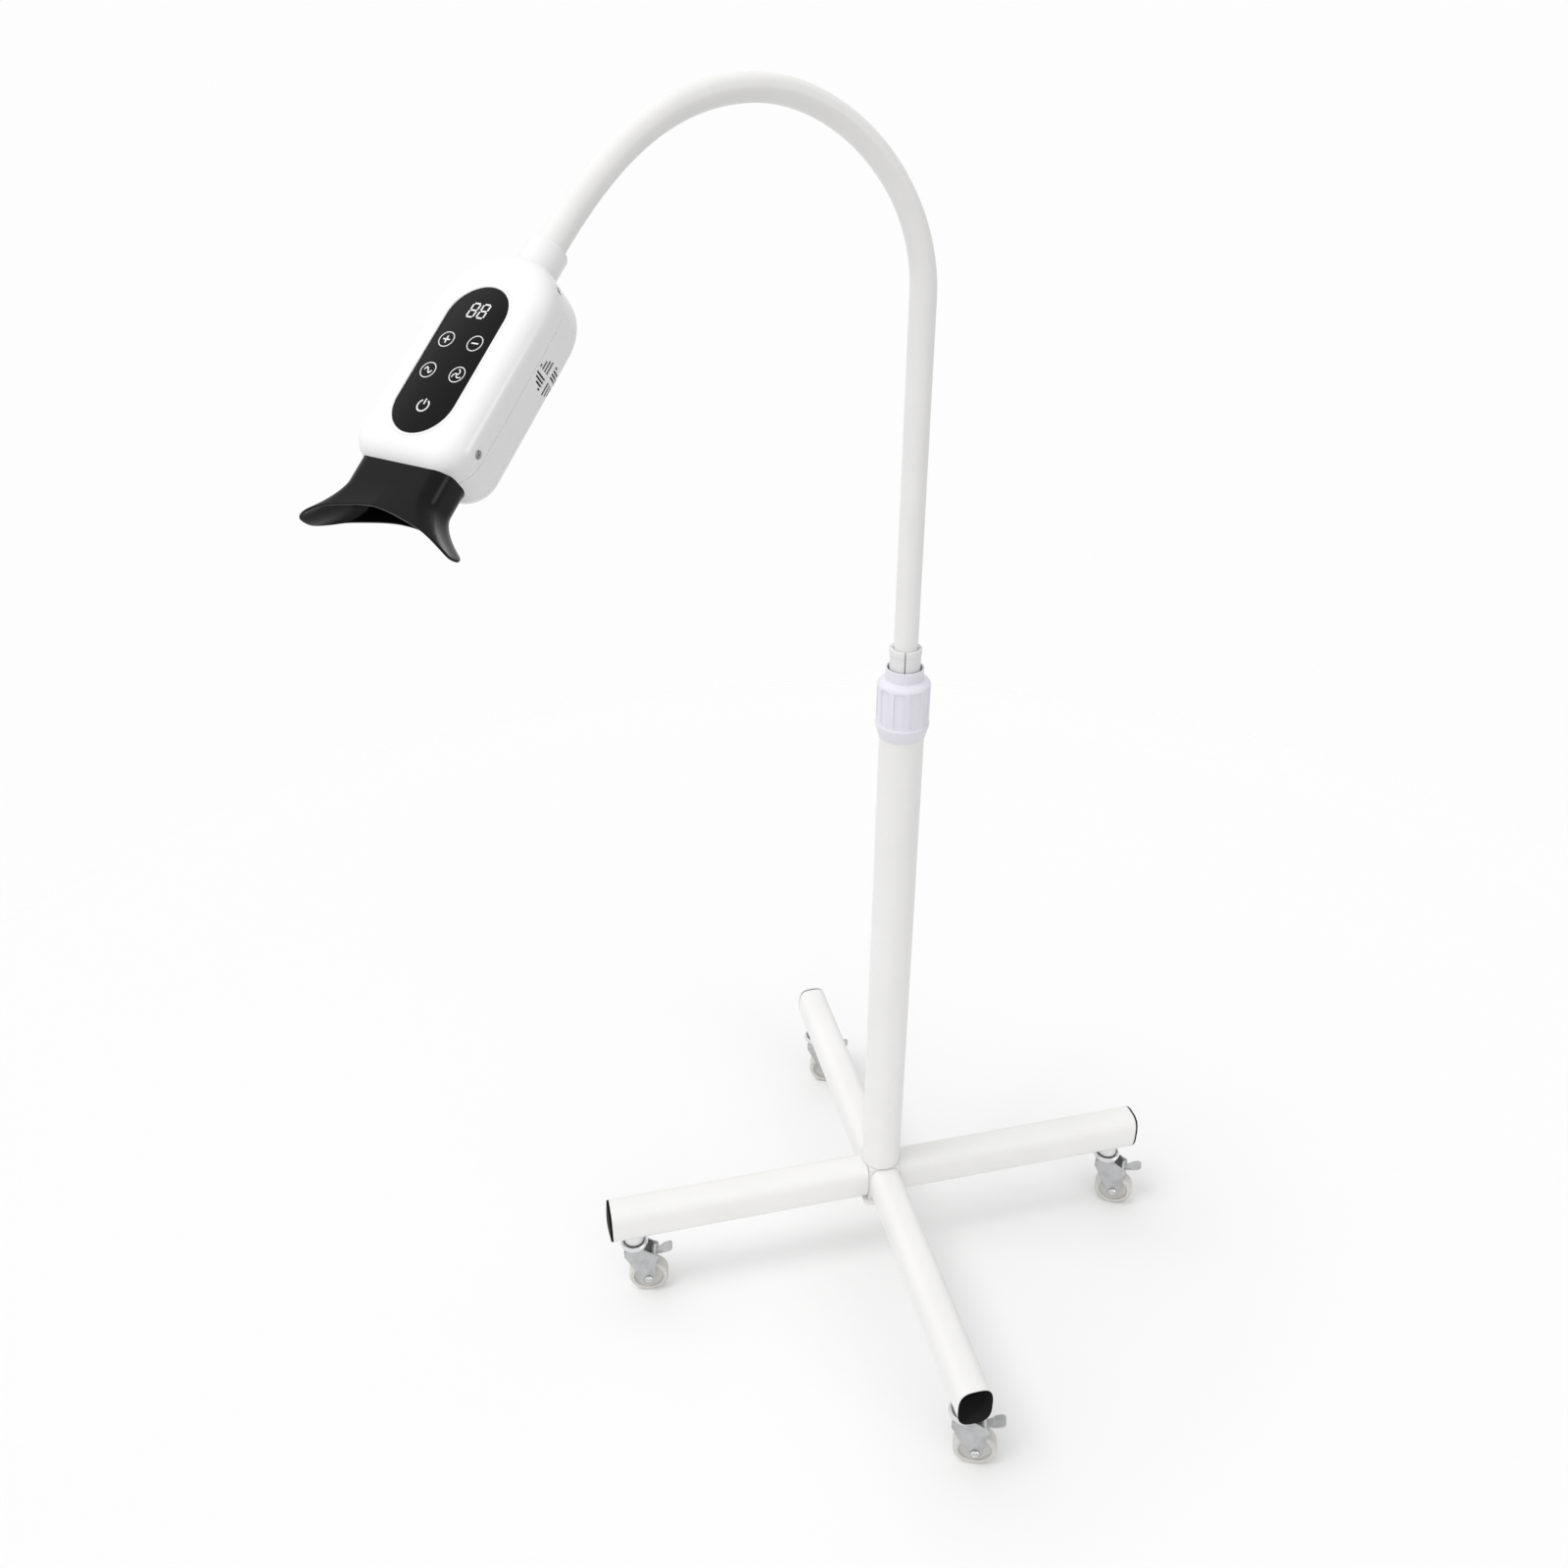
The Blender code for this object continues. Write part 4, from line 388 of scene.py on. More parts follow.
def from_bmesh(name, made, finish, place=None, smooth=True, angle=CREASE, clean=True):
    if place is not None:
        bmesh.ops.transform(made, matrix=place, verts=made.verts)
    if clean:
        bmesh.ops.remove_doubles(made, verts=made.verts, dist=WELD)
        bmesh.ops.recalc_face_normals(made, faces=made.faces)
    mesh = bpy.data.meshes.new(name)
    made.to_mesh(mesh)
    made.free()
    piece = placed(name, mesh)
    mesh.materials.append(finish)
    if smooth:
        shade(mesh, angle)
    return piece


def join_pieces(name, pieces, finish):
    made = bmesh.new()
    for piece in pieces:
        made.from_mesh(piece.data)
        bpy.data.objects.remove(piece, do_unlink=True)
    return from_bmesh(name, made, finish, clean=False)


def baked(piece):
    """The piece's mesh as its modifiers leave it."""
    bpy.context.view_layer.update()
    graph = bpy.context.evaluated_depsgraph_get()
    return bpy.data.meshes.new_from_object(piece.evaluated_get(graph))


def modify(piece, kind, **settings):
    adjust(piece.modifiers.new(kind, kind), settings)


def apply_modifiers(piece):
    mesh = baked(piece)
    piece.modifiers.clear()
    piece.data = mesh


def bridge(made, loops, closed=False):
    """Faces between each loop and the next. A closed run joins its last loop to its first."""
    for upper, lower in zip(loops, loops[1:] + (loops[:1] if closed else [])):
        for i in range(len(upper)):
            j = (i + 1) % len(upper)
            corners = list(dict.fromkeys((upper[i], upper[j], lower[j], lower[i])))
            if len(corners) > 2:
                made.faces.new(corners)


def lathe(name, profile, finish, steps=MEDIUM, place=STILL, closed=True, angle=CREASE):
    """Turns (radius, height) points about Z. A closed profile joins its end to its start."""
    made = bmesh.new()
    loops = []
    for radius, height in profile:
        if radius < ON_AXIS:
            loops.append([made.verts.new((0, 0, height))] * steps)
        else:
            loops.append([made.verts.new((x, y, height)) for x, y in circle(radius, steps)])
    bridge(made, loops, closed and profile[0][0] > ON_AXIS)
    return from_bmesh(name, made, finish, place, angle=angle)


def loft(name, rings, finish, place=STILL, capped=True, ring_closed=False, angle=CREASE):
    """Joins rings of points with the same count."""
    made = bmesh.new()
    loops = [[made.verts.new(point) for point in ring] for ring in rings]
    bridge(made, loops, ring_closed)
    if capped and not ring_closed:
        made.faces.new(loops[0])
        made.faces.new(list(reversed(loops[-1])))
    return from_bmesh(name, made, finish, place, angle=angle)


def sheet_metal(name, outline, thickness, finish, place, holes, bevel, segments=2):
    """A flat plate with any holes, both faces bevelled, standing half its thickness to each side."""
    curve = bpy.data.curves.new(name, "CURVE")
    curve.dimensions = "2D"
    curve.fill_mode = "BOTH"
    curve.extrude = thickness / 2
    for loop in (outline, *holes):
        spline = curve.splines.new("POLY")
        spline.points.add(len(loop) - 1)
        for point, (x, y) in zip(spline.points, loop):
            point.co = (x, y, 0, 1)
        spline.use_cyclic_u = True
    holder = placed(name, curve)
    mesh = baked(holder)
    bpy.data.objects.remove(holder, do_unlink=True)
    made = bmesh.new()
    made.from_mesh(mesh)
    bmesh.ops.remove_doubles(made, verts=made.verts, dist=WELD)
    sharp = [e for e in made.edges if len(e.link_faces) == 2 and e.calc_face_angle(0) > 0.9]
    bmesh.ops.bevel(
        made, geom=sharp, offset=bevel, segments=segments, profile=0.5, affect="EDGES", clamp_overlap=True
    )
    return from_bmesh(name, made, finish, place)


def cut(piece, tool):
    """Takes the tool out of the piece at once, so no modifier is left."""
    modify(piece, "BOOLEAN", operation="DIFFERENCE", object=tool, solver="EXACT")
    apply_modifiers(piece)
    bpy.data.objects.remove(tool, do_unlink=True)
    shade(piece.data)


def tool_boxes(boxes, place=STILL):
    """Cutting boxes, each from its low corner to its high one."""
    made = bmesh.new()
    for low, high in boxes:
        low, high = Vector(low), Vector(high)
        cube = bmesh.ops.create_cube(made, size=1)["verts"]
        fit = place @ Matrix.Translation((low + high) / 2) @ Matrix.Diagonal((*(high - low), 1))
        bmesh.ops.transform(made, matrix=fit, verts=cube)
    return from_bmesh("tool", made, FAN, smooth=False)


def tool_prism(outline, low, high, place=STILL):
    return loft("tool", [level(outline, low), level(outline, high)], FAN, place)


def tool_rod(start, end, radius, steps=32):
    start, end = Vector(start), Vector(end)
    turn = (end - start).to_track_quat("Z", "Y").to_matrix().to_4x4()
    length = (end - start).length
    profile = [(0, length), (radius, length), (radius, 0), (0, 0)]
    return lathe("tool", profile, FAN, steps, Matrix.Translation(start) @ turn)


def settle(piece, body, slot, *nodes):
    """Rides the piece on its body and hides what it stands for. Its slot is not used."""
    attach(piece, body)
    if nodes:
        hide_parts(*nodes)
    return piece


# base

LEG_LOW, LEG_HIGH = 0.0990, 0.1510
LEG_HALF_WIDTH, LEG_HALF_HEIGHT = 0.020, 0.026
LEG_START, LEG_END = 0.0208, 0.3510
LEG_SQUARENESS = 3.1
CAP_END = 0.356


def leg_ring(x, inset=0.0, steps=40):
    """The leg's section: its sides bulge a little between generous corners."""
    half_width, half_height = LEG_HALF_WIDTH - inset, LEG_HALF_HEIGHT - inset
    points = []
    for i in range(steps):
        a = 2 * math.pi * (i + 0.5) / steps
        y, z = (math.copysign(abs(c) ** (2 / LEG_SQUARENESS), c) for c in (math.cos(a), math.sin(a)))
        points.append(Vector((x, half_width * y, half_height * z)))
    return points


def make_legs():
    """Four tubes, each with its end cap: a plug, a round lip and a crowned face."""
    edge, wall, plug, lip = 0.0006, 0.0020, 0.0025, 0.0022
    centre, rim = (LEG_START + LEG_END) / 2, LEG_END + CLEAR
    tube = (
        (LEG_START, wall), (LEG_START, edge), (LEG_START + edge, 0), (centre, 0),
        (LEG_END - edge, 0), (LEG_END, edge), (LEG_END, wall), (centre, wall),
    )
    for n in range(1, 5):
        place = move(z=(LEG_LOW + LEG_HIGH) / 2) @ turned(math.radians(45 + 90 * n), "Z")
        rings = [leg_ring(x, inset) for x, inset in tube]
        leg = loft(f"leg_tube_{n}", rings, ENAMEL, place, ring_closed=True)
        settle(leg, "base", "powder_coat_white", f"leg_{n}")
        cap_rings = [leg_ring(LEG_END - 0.0105, plug), leg_ring(rim, plug)]
        for share in (0, 0.35, 0.7, 1):
            inset = 0.0008 * (1 - math.cos(share * QUARTER)) + 0.0001
            cap_rings.append(leg_ring(rim + lip * share, inset))
        for share in (0.15, 0.4, 0.7, 0.9):
            x = rim + lip + (CAP_END - rim - lip) * math.sin(share * QUARTER)
            rest = 1 - share
            cap_rings.append([Vector((x, p.y * rest, p.z * rest)) for p in leg_ring(0, 0.0018)])
        cap = loft(f"leg_plug_{n}", cap_rings, CAP, place)
        settle(cap, "base", "cap_black", f"leg_cap_{n}")


# column

COLUMN_FOOT, COLUMN_TOP = 0.1521, 0.8121


def make_column():
    outer, inner, fillet = 0.024, 0.0221, 0.0014
    bend = COLUMN_FOOT + 0.0016
    profile = [(outer, COLUMN_TOP - 0.0004), (outer, bend)]
    profile += arc((outer - fillet, bend), fillet, 0, -QUARTER, 5)[1:]
    profile += [(inner, COLUMN_FOOT + 0.0002), (inner, COLUMN_TOP - 0.0004)]
    column = lathe("column_tube", profile, ENAMEL, ROUND)
    settle(column, "base", "powder_coat_white", "column")


def make_lock_collar():
    """Ribbed collar: broad shallow panels between ribs, a sloped shoulder and a plain neck."""
    panels, half_panel, wall, deep = 10, 0.335, 0.02, 0.0014
    foot = COLUMN_TOP - 0.042
    body_top = foot + 0.066
    neck_top = body_top + 0.013

    def ring(radius, height, depth=0.0, narrow=1.0):
        """One level of the collar. Its panels lie deeper by the depth and may be narrower."""
        half = half_panel * narrow
        spread = [0, (0.5 - half) / 2, 0.5 - half, 0.5 - half + wall, 0.5 - half / 2, 0.5]
        spread += [1 - share for share in reversed(spread[1:-1])]
        points = []
        for panel in range(panels):
            for index, share in enumerate(spread):
                angle = 2 * math.pi * (panel + share) / panels
                reach = radius - (depth if 3 <= index <= 7 else 0)
                points.append(Vector((reach * math.cos(angle), reach * math.sin(angle), height)))
        return points

    levels = (
        (foot, (
            (0.0243, 0), (0.0246, 0), (0.0252, 0.0008), (0.0282, 0.0120), (0.0287, 0.0140), (0.0288, 0.0150),
            (0.0285, 0.0162), (0.0280, 0.0170, 0, 0.45), (0.0280, 0.0172, deep, 0.45),
            (0.0280, 0.0182, deep, 0.75), (0.0280, 0.0200, deep, 0.94), (0.0280, 0.0225, deep),
        )),
        (body_top, (
            (0.0280, -0.0080, deep), (0.0280, -0.0072, 0.0002), (0.0279, -0.0064), (0.0277, -0.0050),
            (0.0268, -0.0034), (0.0250, -0.0018), (0.0222, -0.0004), (0.0203, 0), (0.0200, 0.0006),
        )),
        (neck_top, (
            (0.0200, -0.0007), (0.0197, -0.0002), (0.0193, 0), (0.0187, -0.0001), (0.0183, -0.0005),
        )),
        (COLUMN_TOP, ((0.0183, 0.0169), (0.0208, 0.0169), (0.0208, 0.0046), (0.0243, 0.0046))),
    )
    rings = [ring(radius, start + up, *panel) for start, group in levels for radius, up, *panel in group]
    collar = loft("lock_collar_ribbed", rings, COLLAR, ring_closed=True, angle=0.42)
    settle(collar, "collar", "collar_white", "lock_collar")


def make_collet():
    """Split sleeve that closes on the rod, with a lipped top and four slits."""
    foot = COLUMN_TOP + 0.0126
    top = foot + 0.0464
    bore = 0.0128
    lip = [
        (0.0146, -0.0002), (0.0160, 0), (0.0167, -0.0005), (0.01685, -0.0012), (0.01685, -0.0060),
        (0.0162, -0.0066),
    ]
    flange = [(0.0162, 0.0045), (0.0193, 0.0040), (0.0195, 0), (bore, 0)]
    profile = risen(lip, top) + risen(flange, foot) + risen([(bore, -0.0015), (0.0135, -0.0004)], top)
    sleeve = lathe("collet_sleeve", profile, BUSH, ROUND)
    for turn in (26, 116):
        slit = ((-0.03, -0.0008, top - 0.024), (0.03, 0.0008, top + 0.002))
        cut(sleeve, tool_boxes([slit], turned(math.radians(turn), "Z")))
    settle(sleeve, "base", "bush_white", "collet")


def make_inlet():
    """Round power inlet low on the column, with its pin."""
    out = 0.0243
    place = move(z=COLUMN_FOOT + 0.045) @ turned(QUARTER, "Y")
    rim = [
        (0.0031, 0.0020), (0.0036, 0.0022), (0.0070, 0.0022), (0.0080, 0.0018), (0.0085, 0.0009),
        (0.0085, 0), (0.0060, 0), (0.0060, -0.013), (0.0030, -0.013), (0.0030, 0.0016),
    ]
    inlet = lathe("inlet_socket", risen(rim, out), CAP, MEDIUM, place)
    settle(inlet, "base", "cap_black", "power_inlet")
    tip = [(0, -0.001), (0.0007, -0.0016), (0.0007, -0.0128), (0, -0.0128)]
    pin = lathe("inlet_pin", risen(tip, out), BRIGHT, SMALL, place)
    settle(pin, "base", "bolt_steel")


def make_hub_bolt():
    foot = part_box("hub_bolt")[0].z
    profile = [
        (0, 0), (0.0050, 0), (0.0053, 0.0004), (0.0053, 0.0038), (0.0085, 0.0040), (0.0088, 0.0044),
        (0.0088, 0.0060), (0.0052, 0.0060), (0.0052, 0.0340), (0, 0.0340),
    ]
    bolt = lathe("hub_bolt_shank", risen(profile, foot), BRIGHT, MEDIUM)
    settle(bolt, "base", "bolt_steel", "hub_bolt")


# mast and gooseneck

ROD_TOP = COLUMN_TOP + 0.403
ROD_RADIUS, GOOSENECK_RADIUS = 0.0125, 0.0112
NECK_SLOPE = math.radians(38.8)
SLOPE_X, SLOPE_Z = math.cos(NECK_SLOPE), math.sin(NECK_SLOPE)
NECK_LENGTH = 0.020
ARCH_REACH, ARCH_RISE, ARCH_SWEEP = 0.150, 0.1727, 0.130
ARCH_PULL, NECK_PULL = 0.5523, 0.080
APEX_X, APEX_Z = -ARCH_REACH, ROD_TOP + ARCH_RISE
NECK_X, NECK_Z = APEX_X - 0.205, APEX_Z - 0.0982
HEAD = (
    move(NECK_X - NECK_LENGTH * SLOPE_X, ARCH_SWEEP, NECK_Z - NECK_LENGTH * SLOPE_Z)
    @ Euler((0, -(QUARTER - NECK_SLOPE), math.pi)).to_matrix().to_4x4()
)


def bezier(points, share):
    a, b, c, d = (Vector(p) for p in points)
    rest = 1 - share
    return a * rest**3 + b * (3 * rest**2 * share) + c * (3 * rest * share**2) + d * share**3


def arch_point(share):
    """A point of the gooseneck, from the rod, 0, to the neck, 1. It sweeps aside on its way forward."""
    if share < 0.5:
        rise = ((0, ROD_TOP), (0, ROD_TOP + ARCH_RISE * ARCH_PULL), (APEX_X + ARCH_REACH * ARCH_PULL, APEX_Z))
        flat = bezier((*rise, (APEX_X, APEX_Z)), 2 * share)
    else:
        fall = ((APEX_X - NECK_PULL, APEX_Z), (NECK_X + NECK_PULL * SLOPE_X, NECK_Z + NECK_PULL * SLOPE_Z))
        flat = bezier(((APEX_X, APEX_Z), *fall, (NECK_X, NECK_Z)), 2 * share - 1)
    inward = unit(flat[0] / NECK_X)
    return Vector((flat[0], ARCH_SWEEP * (1 - (1 - inward) ** 2), flat[1]))


def rings_along(points, radii, steps):
    """Rings square to the path, each with its first point towards +Y. The path's two ends get none."""
    rings = []
    for before, point, after, radius in zip(points, points[1:], points[2:], radii):
        ahead = (after - before).normalized()
        side = Vector((0, 1, 0))
        side = (side - ahead * side.dot(ahead)).normalized()
        other = ahead.cross(side)
        rings.append([point + (side * x + other * y) * radius for x, y in circle(1, steps)])
    return rings


def make_mast():
    """The rod and the sleeve over the gooseneck, in lengths that each span one joint."""
    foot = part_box("inner_rod")[0].z
    fine, steps, half = 1200, 56, 0.026
    arch = [arch_point(i / fine) for i in range(fine + 1)]
    down = Vector((-SLOPE_X, 0, -SLOPE_Z))
    straight = [Vector((0, 0, ROD_TOP - 0.3 + 0.002 * i)) for i in range(150)]
    line = straight + arch + [arch[-1] + down * 0.002 * i for i in range(1, 17)]
    lengths = [0.0]
    for before, after in zip(line, line[1:]):
        lengths.append(lengths[-1] + (after - before).length)
    last, total = len(line) - 1, lengths[-1]

    def at(distance):
        """The point of the line at this distance from its start."""
        high = next((i for i in range(1, last) if lengths[i] > distance), last)
        before, after = lengths[high - 1], lengths[high]
        return line[high - 1].lerp(line[high], unit((distance - before) / max(after - before, 1e-9)))

    bends = [Vector(JOINTS[f"bend_{i}"]["pos_m"]) for i in range(1, 7)]
    stations = [lengths[min(range(len(line)), key=lambda i: (line[i] - bend).length)] for bend in bends]
    cuts = [stations[0] - 0.040, *((a + b) / 2 for a, b in zip(stations, stations[1:])), total]
    bodies = ["mast", *(f"gooseneck_{i}" for i in range(1, 6)), "head"]
    for index, (start, end) in enumerate(zip(cuts, cuts[1:])):
        count = max(int((end - start) / 0.0016), 8)
        distances = [start + (end - start) * i / count for i in range(count + 1)]
        path = [at(max(start - 0.001, 0)), *(at(d) for d in distances), at(min(end + 0.001, total))]
        radii = []
        for distance in distances:
            narrowed = unit((distance - stations[0]) / (stations[1] - stations[0]))
            radii.append(ROD_RADIUS + (GOOSENECK_RADIUS - ROD_RADIUS) * narrowed)
        rings = rings_along(path, radii, steps)
        sleeve = loft(f"gooseneck_sleeve_{index + 1}", rings, SLEEVE, capped=False, angle=1.2)
        bodies[index + 1]
        at(stations[index] - half)
        at(stations[index] + half)
        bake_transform(sleeve)
        node = "gooseneck_end" if index == 5 else f"gooseneck_link_{index + 1}"
        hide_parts(node)
    rod_end, bore, edge = at(cuts[0]).z, 0.0110, 0.0006
    profile = [(ROD_RADIUS, rod_end), (ROD_RADIUS, foot + edge), (ROD_RADIUS - edge, foot), (bore, foot)]
    rod = lathe("inner_rod_tube", [*profile, (bore, rod_end)], SLEEVE, steps, closed=False)
    settle(rod, "mast", "sleeve_white", "inner_rod")


# lamp head

HEAD_LENGTH, HEAD_HALF = 0.182, 0.050
FRONT, BACK, SEAM = 0.0265, -0.0260, 0.0030
WALL = 0.0022
FRONT_ROUND, BACK_ROUND = 0.0140, 0.0120
CORNER = 0.0230
NECK_RING = 0.0156
PANEL_HALF_W, PANEL_HALF_L, PANEL_MIDDLE = 0.026, 0.062, -0.0985
PANEL_PLACE = Matrix(((0, 0, 1, 0), (1, 0, 0, 0), (0, 1, 0, PANEL_MIDDLE), (0, 0, 0, 1)))
GRILLE_RADIUS, GRILLE_Z = 0.0125, -0.077
FAN_X = BACK + WALL + CLEAR + GRILLE_RADIUS
GRILLE_EDGE = FAN_X + GRILLE_RADIUS
SCREW_X, LOW_SCREW_Z = SEAM + 0.0065, -0.157
HIGH_SCREW_ANGLE = math.radians(38)
HOOD_HALF, HOOD_FRONT, HOOD_BACK, HOOD_CORNER = 0.0400, 0.0190, 0.0130, 0.0110
HOOD_MIDDLE, HOOD_WING, HOOD_SPREAD, HOOD_PLUG = 0.0340, 0.0530, 0.0290, 0.016
INK = 0.00012


def in_head(piece):
    piece.data.transform(HEAD)
    return piece


def head_outline(inset, steps=18):
    """The head's outline as (Y, Z) points, moved inwards by the inset."""
    half = HEAD_HALF - inset
    foot = -HEAD_LENGTH + inset
    corner = max(CORNER - inset, 0.004)
    side, bend = half - corner, foot + corner
    points = arc((0, -HEAD_HALF), half, 0, math.pi, 2 * steps)
    points += between((-half, -HEAD_HALF), (-half, bend), 8)
    points += arc((-side, bend), corner, math.pi, 1.5 * math.pi, steps)
    points += between((-side, foot), (side, foot), 6)
    points += arc((side, bend), corner, -QUARTER, 0, steps)
    points += between((half, bend), (half, -HEAD_HALF), 8)
    return points


def shell_half(name, seam, face, rounding):
    """Half of the housing, from its seam over a rounded edge to its face, then back along the inside."""
    side = 1 if face > seam else -1
    inside, inner_round = face - side * WALL, rounding - WALL
    turn = [QUARTER * k / 8 for k in range(9)]
    outer = [(seam + side * 0.0002, 0.0), (face - side * rounding, 0.0)]
    outer += [(face - side * rounding * (1 - math.sin(a)), rounding * (1 - math.cos(a))) for a in turn[1:]]
    outer += [(face, inset) for inset in (0.019, 0.026, 0.034)]
    inner = [(inside, inset) for inset in (0.034, 0.019, rounding)]
    for a in turn[6::-2]:
        x = inside - side * inner_round * (1 - math.sin(a))
        inner.append((x, WALL + inner_round * (1 - math.cos(a))))
    inner += [(seam + side * 0.0004, WALL), (seam, WALL - 0.0003), (seam, 0.0002)]
    made = bmesh.new()
    outside, lining = (
        [[made.verts.new((x, y, z)) for y, z in head_outline(inset)] for x, inset in group]
        for group in (outer, inner)
    )
    bridge(made, outside)
    bridge(made, lining)
    made.faces.new(outside[-1])
    made.faces.new(lining[0])
    bridge(made, [outside[0], lining[-1]])
    return from_bmesh(name, made, SHELL, angle=0.5)


def stadium(half_w, half_l, steps=24):
    straight = half_l - half_w
    upper = arc((0, straight), half_w, 0, math.pi, steps)
    return upper + arc((0, -straight), half_w, math.pi, 2 * math.pi, steps)


def grille_boxes(side):
    """Four sectors of parallel slots through the side wall."""
    cross, count = 0.0026, 4
    pitch = (GRILLE_RADIUS - cross / 2) / count
    low_y, high_y = sorted((side * (HEAD_HALF - 0.012), side * (HEAD_HALF + 0.004)))
    boxes = []
    for sector, (sign_x, sign_z) in enumerate(((1, 1), (-1, 1), (-1, -1), (1, -1))):
        for index in range(count):
            near = cross / 2 + pitch * (index + 0.18)
            far = near + pitch * 0.64
            length = math.sqrt(max(GRILLE_RADIUS**2 - far**2, (1.5 * cross) ** 2))
            spans = [(near, far), (cross / 2, length)]
            if sector % 2:
                spans.reverse()
            low_x, high_x = sorted(FAN_X + sign_x * x for x in spans[0])
            low_z, high_z = sorted(GRILLE_Z + sign_z * z for z in spans[1])
            boxes.append(((low_x, low_y, low_z), (high_x, high_y, high_z)))
    return boxes


def side_slab(name, side, near, far, turn, reach, half_height):
    """A slab that follows the back shell's side between two depths below its surface."""
    section = []
    for depth in (near, far):
        bend = arc((BACK + BACK_ROUND, HEAD_HALF - BACK_ROUND), BACK_ROUND - depth, turn, QUARTER, 12)
        bend.append((reach, HEAD_HALF - depth))
        section += bend if depth == near else reversed(bend)
    outline = [(x, side * y) for x, y in section]
    return loft(name, [level(outline, GRILLE_Z + z) for z in (half_height, -half_height)], FAN)


def make_grille_shade_sheets():
    """A black sheet close behind each grille, in the pocket inside the back shell: painted shade that makes
    the slots read dark.
    """
    for side, word in ((1, "left"), (-1, "right")):
        # painted shade: a black sheet just behind the slots, where there is only shade
        screen = side_slab(
            f"grille_shade_sheet_{word}", side, 0.0011, 0.0019, math.pi - 0.05, GRILLE_EDGE + 0.0001, 0.0145
        )
        settle(in_head(screen), "head", "fan_black")


def screw_places():
    """Where each screw's head lies on the front shell's side, and which way it looks."""
    places = []
    for side in (1, -1):
        places.append((Vector((SCREW_X, side * HEAD_HALF, LOW_SCREW_Z)), Vector((0, side, 0))))
        out = Vector((0, side * math.cos(HIGH_SCREW_ANGLE), math.sin(HIGH_SCREW_ANGLE)))
        places.append((Vector((SCREW_X, 0, -HEAD_HALF)) + out * HEAD_HALF, out))
    return places


def make_shells():
    """The two halves with the panel's recess, the holes for neck and hood, screw seats and grilles."""
    front = shell_half("shell_front", SEAM + 0.0001, FRONT, FRONT_ROUND)
    back = shell_half("shell_back", SEAM - 0.0001, BACK, BACK_ROUND)
    panel = stadium(PANEL_HALF_W + CLEAR, PANEL_HALF_L + CLEAR)
    cut(front, tool_prism(panel, FRONT - 0.0015, FRONT + 0.002, PANEL_PLACE))
    half = HOOD_HALF + CLEAR
    hood = rounded(-HOOD_BACK - CLEAR, HOOD_FRONT + CLEAR, -half, half, HOOD_CORNER + CLEAR)
    for shell in (front, back):
        cut(shell, tool_rod((0, 0, -0.03), (0, 0, 0.006), NECK_RING + CLEAR, 72))
        cut(shell, tool_prism(hood, -0.165, -0.190))
    for place, out in screw_places():
        cut(front, tool_rod(place - out * 0.0019, place + out * 0.002, 0.0033))
        cut(front, tool_rod(place - out * 0.008, place, 0.0016))
    for side in (1, -1):
        cut(back, side_slab("tool", side, 0.0009, 0.0032, math.pi, GRILLE_EDGE + 0.0004, 0.0149))
        cut(back, tool_boxes(grille_boxes(side)))
    settle(in_head(front), "head", "gloss_shell_white", "front_shell")
    settle(in_head(back), "head", "gloss_shell_white", "back_shell")


def make_screws():
    profile = [
        (0, 0), (0.0021, 0), (0.0025, -0.0003), (0.0026, -0.0006), (0.0026, -0.0012),
        (0.0013, -0.0012), (0.0013, -0.0058), (0, -0.0058),
    ]
    slot = ((-0.0016, -0.00032, -0.0007), (0.0016, 0.00032, 0.0004))
    for n, (place, out) in enumerate(screw_places(), 1):
        turn = out.to_track_quat("Z", "X").to_matrix().to_4x4()
        seat = HEAD @ Matrix.Translation(place - out * 0.0004) @ turn
        screw = lathe(f"case_screw_{n}", profile, SCREW, SMALL, seat)
        for angle in (0, QUARTER):
            cut(screw, tool_boxes([slot], seat @ turned(angle + 0.4, "Z")))
        settle(screw, "head", "bolt_steel", f"shell_screw_{n}")


def make_neck_collar():
    top, foot, flange_top = 0.0225, -0.0155, -0.0125
    bore, flange = GOOSENECK_RADIUS + CLEAR, 0.0186
    profile = [
        (NECK_RING - 0.0018, top), (NECK_RING - 0.0010, top - 0.0001), (NECK_RING - 0.0003, top - 0.0006),
        (NECK_RING, top - 0.0014), (NECK_RING, flange_top), (flange, flange_top), (flange, foot),
        (bore, foot), (bore, top - 0.0006), (bore + 0.0006, top),
    ]
    ring = lathe("neck_ring", profile, SHELL, ROUND, HEAD)
    settle(ring, "head", "gloss_shell_white", "neck_collar")


def panel_loft(name, levels, finish, ring_closed=False):
    """Levels of the panel's outline, each an inset and a height over the head's face."""
    rings = []
    for inset, out in levels:
        outline = stadium(PANEL_HALF_W - inset, PANEL_HALF_L - inset)
        rings.append(upright(outline, FRONT + out, PANEL_MIDDLE))
    return in_head(loft(name, rings, finish, ring_closed=ring_closed))


def make_panel():
    """Black acrylic with a softened edge, in a thin raised white rim."""
    edge = ((0.0004, -0.0012), (0.0, -0.0010), (0.0, -0.0004), (0.0001, -0.0001), (0.0005, 0))
    settle(panel_loft("touch_panel", edge, PANEL), "head", "panel_black", "control_panel")
    bead = (
        (-0.0004, -0.0012), (-0.0004, 0.0003), (-0.0008, 0.0006), (-0.0016, 0.0007),
        (-0.0024, 0.0004), (-0.0031, -0.0002), (-0.0032, -0.0012),
    )
    settle(panel_loft("panel_rim", bead, SHELL, True), "head", "gloss_shell_white")


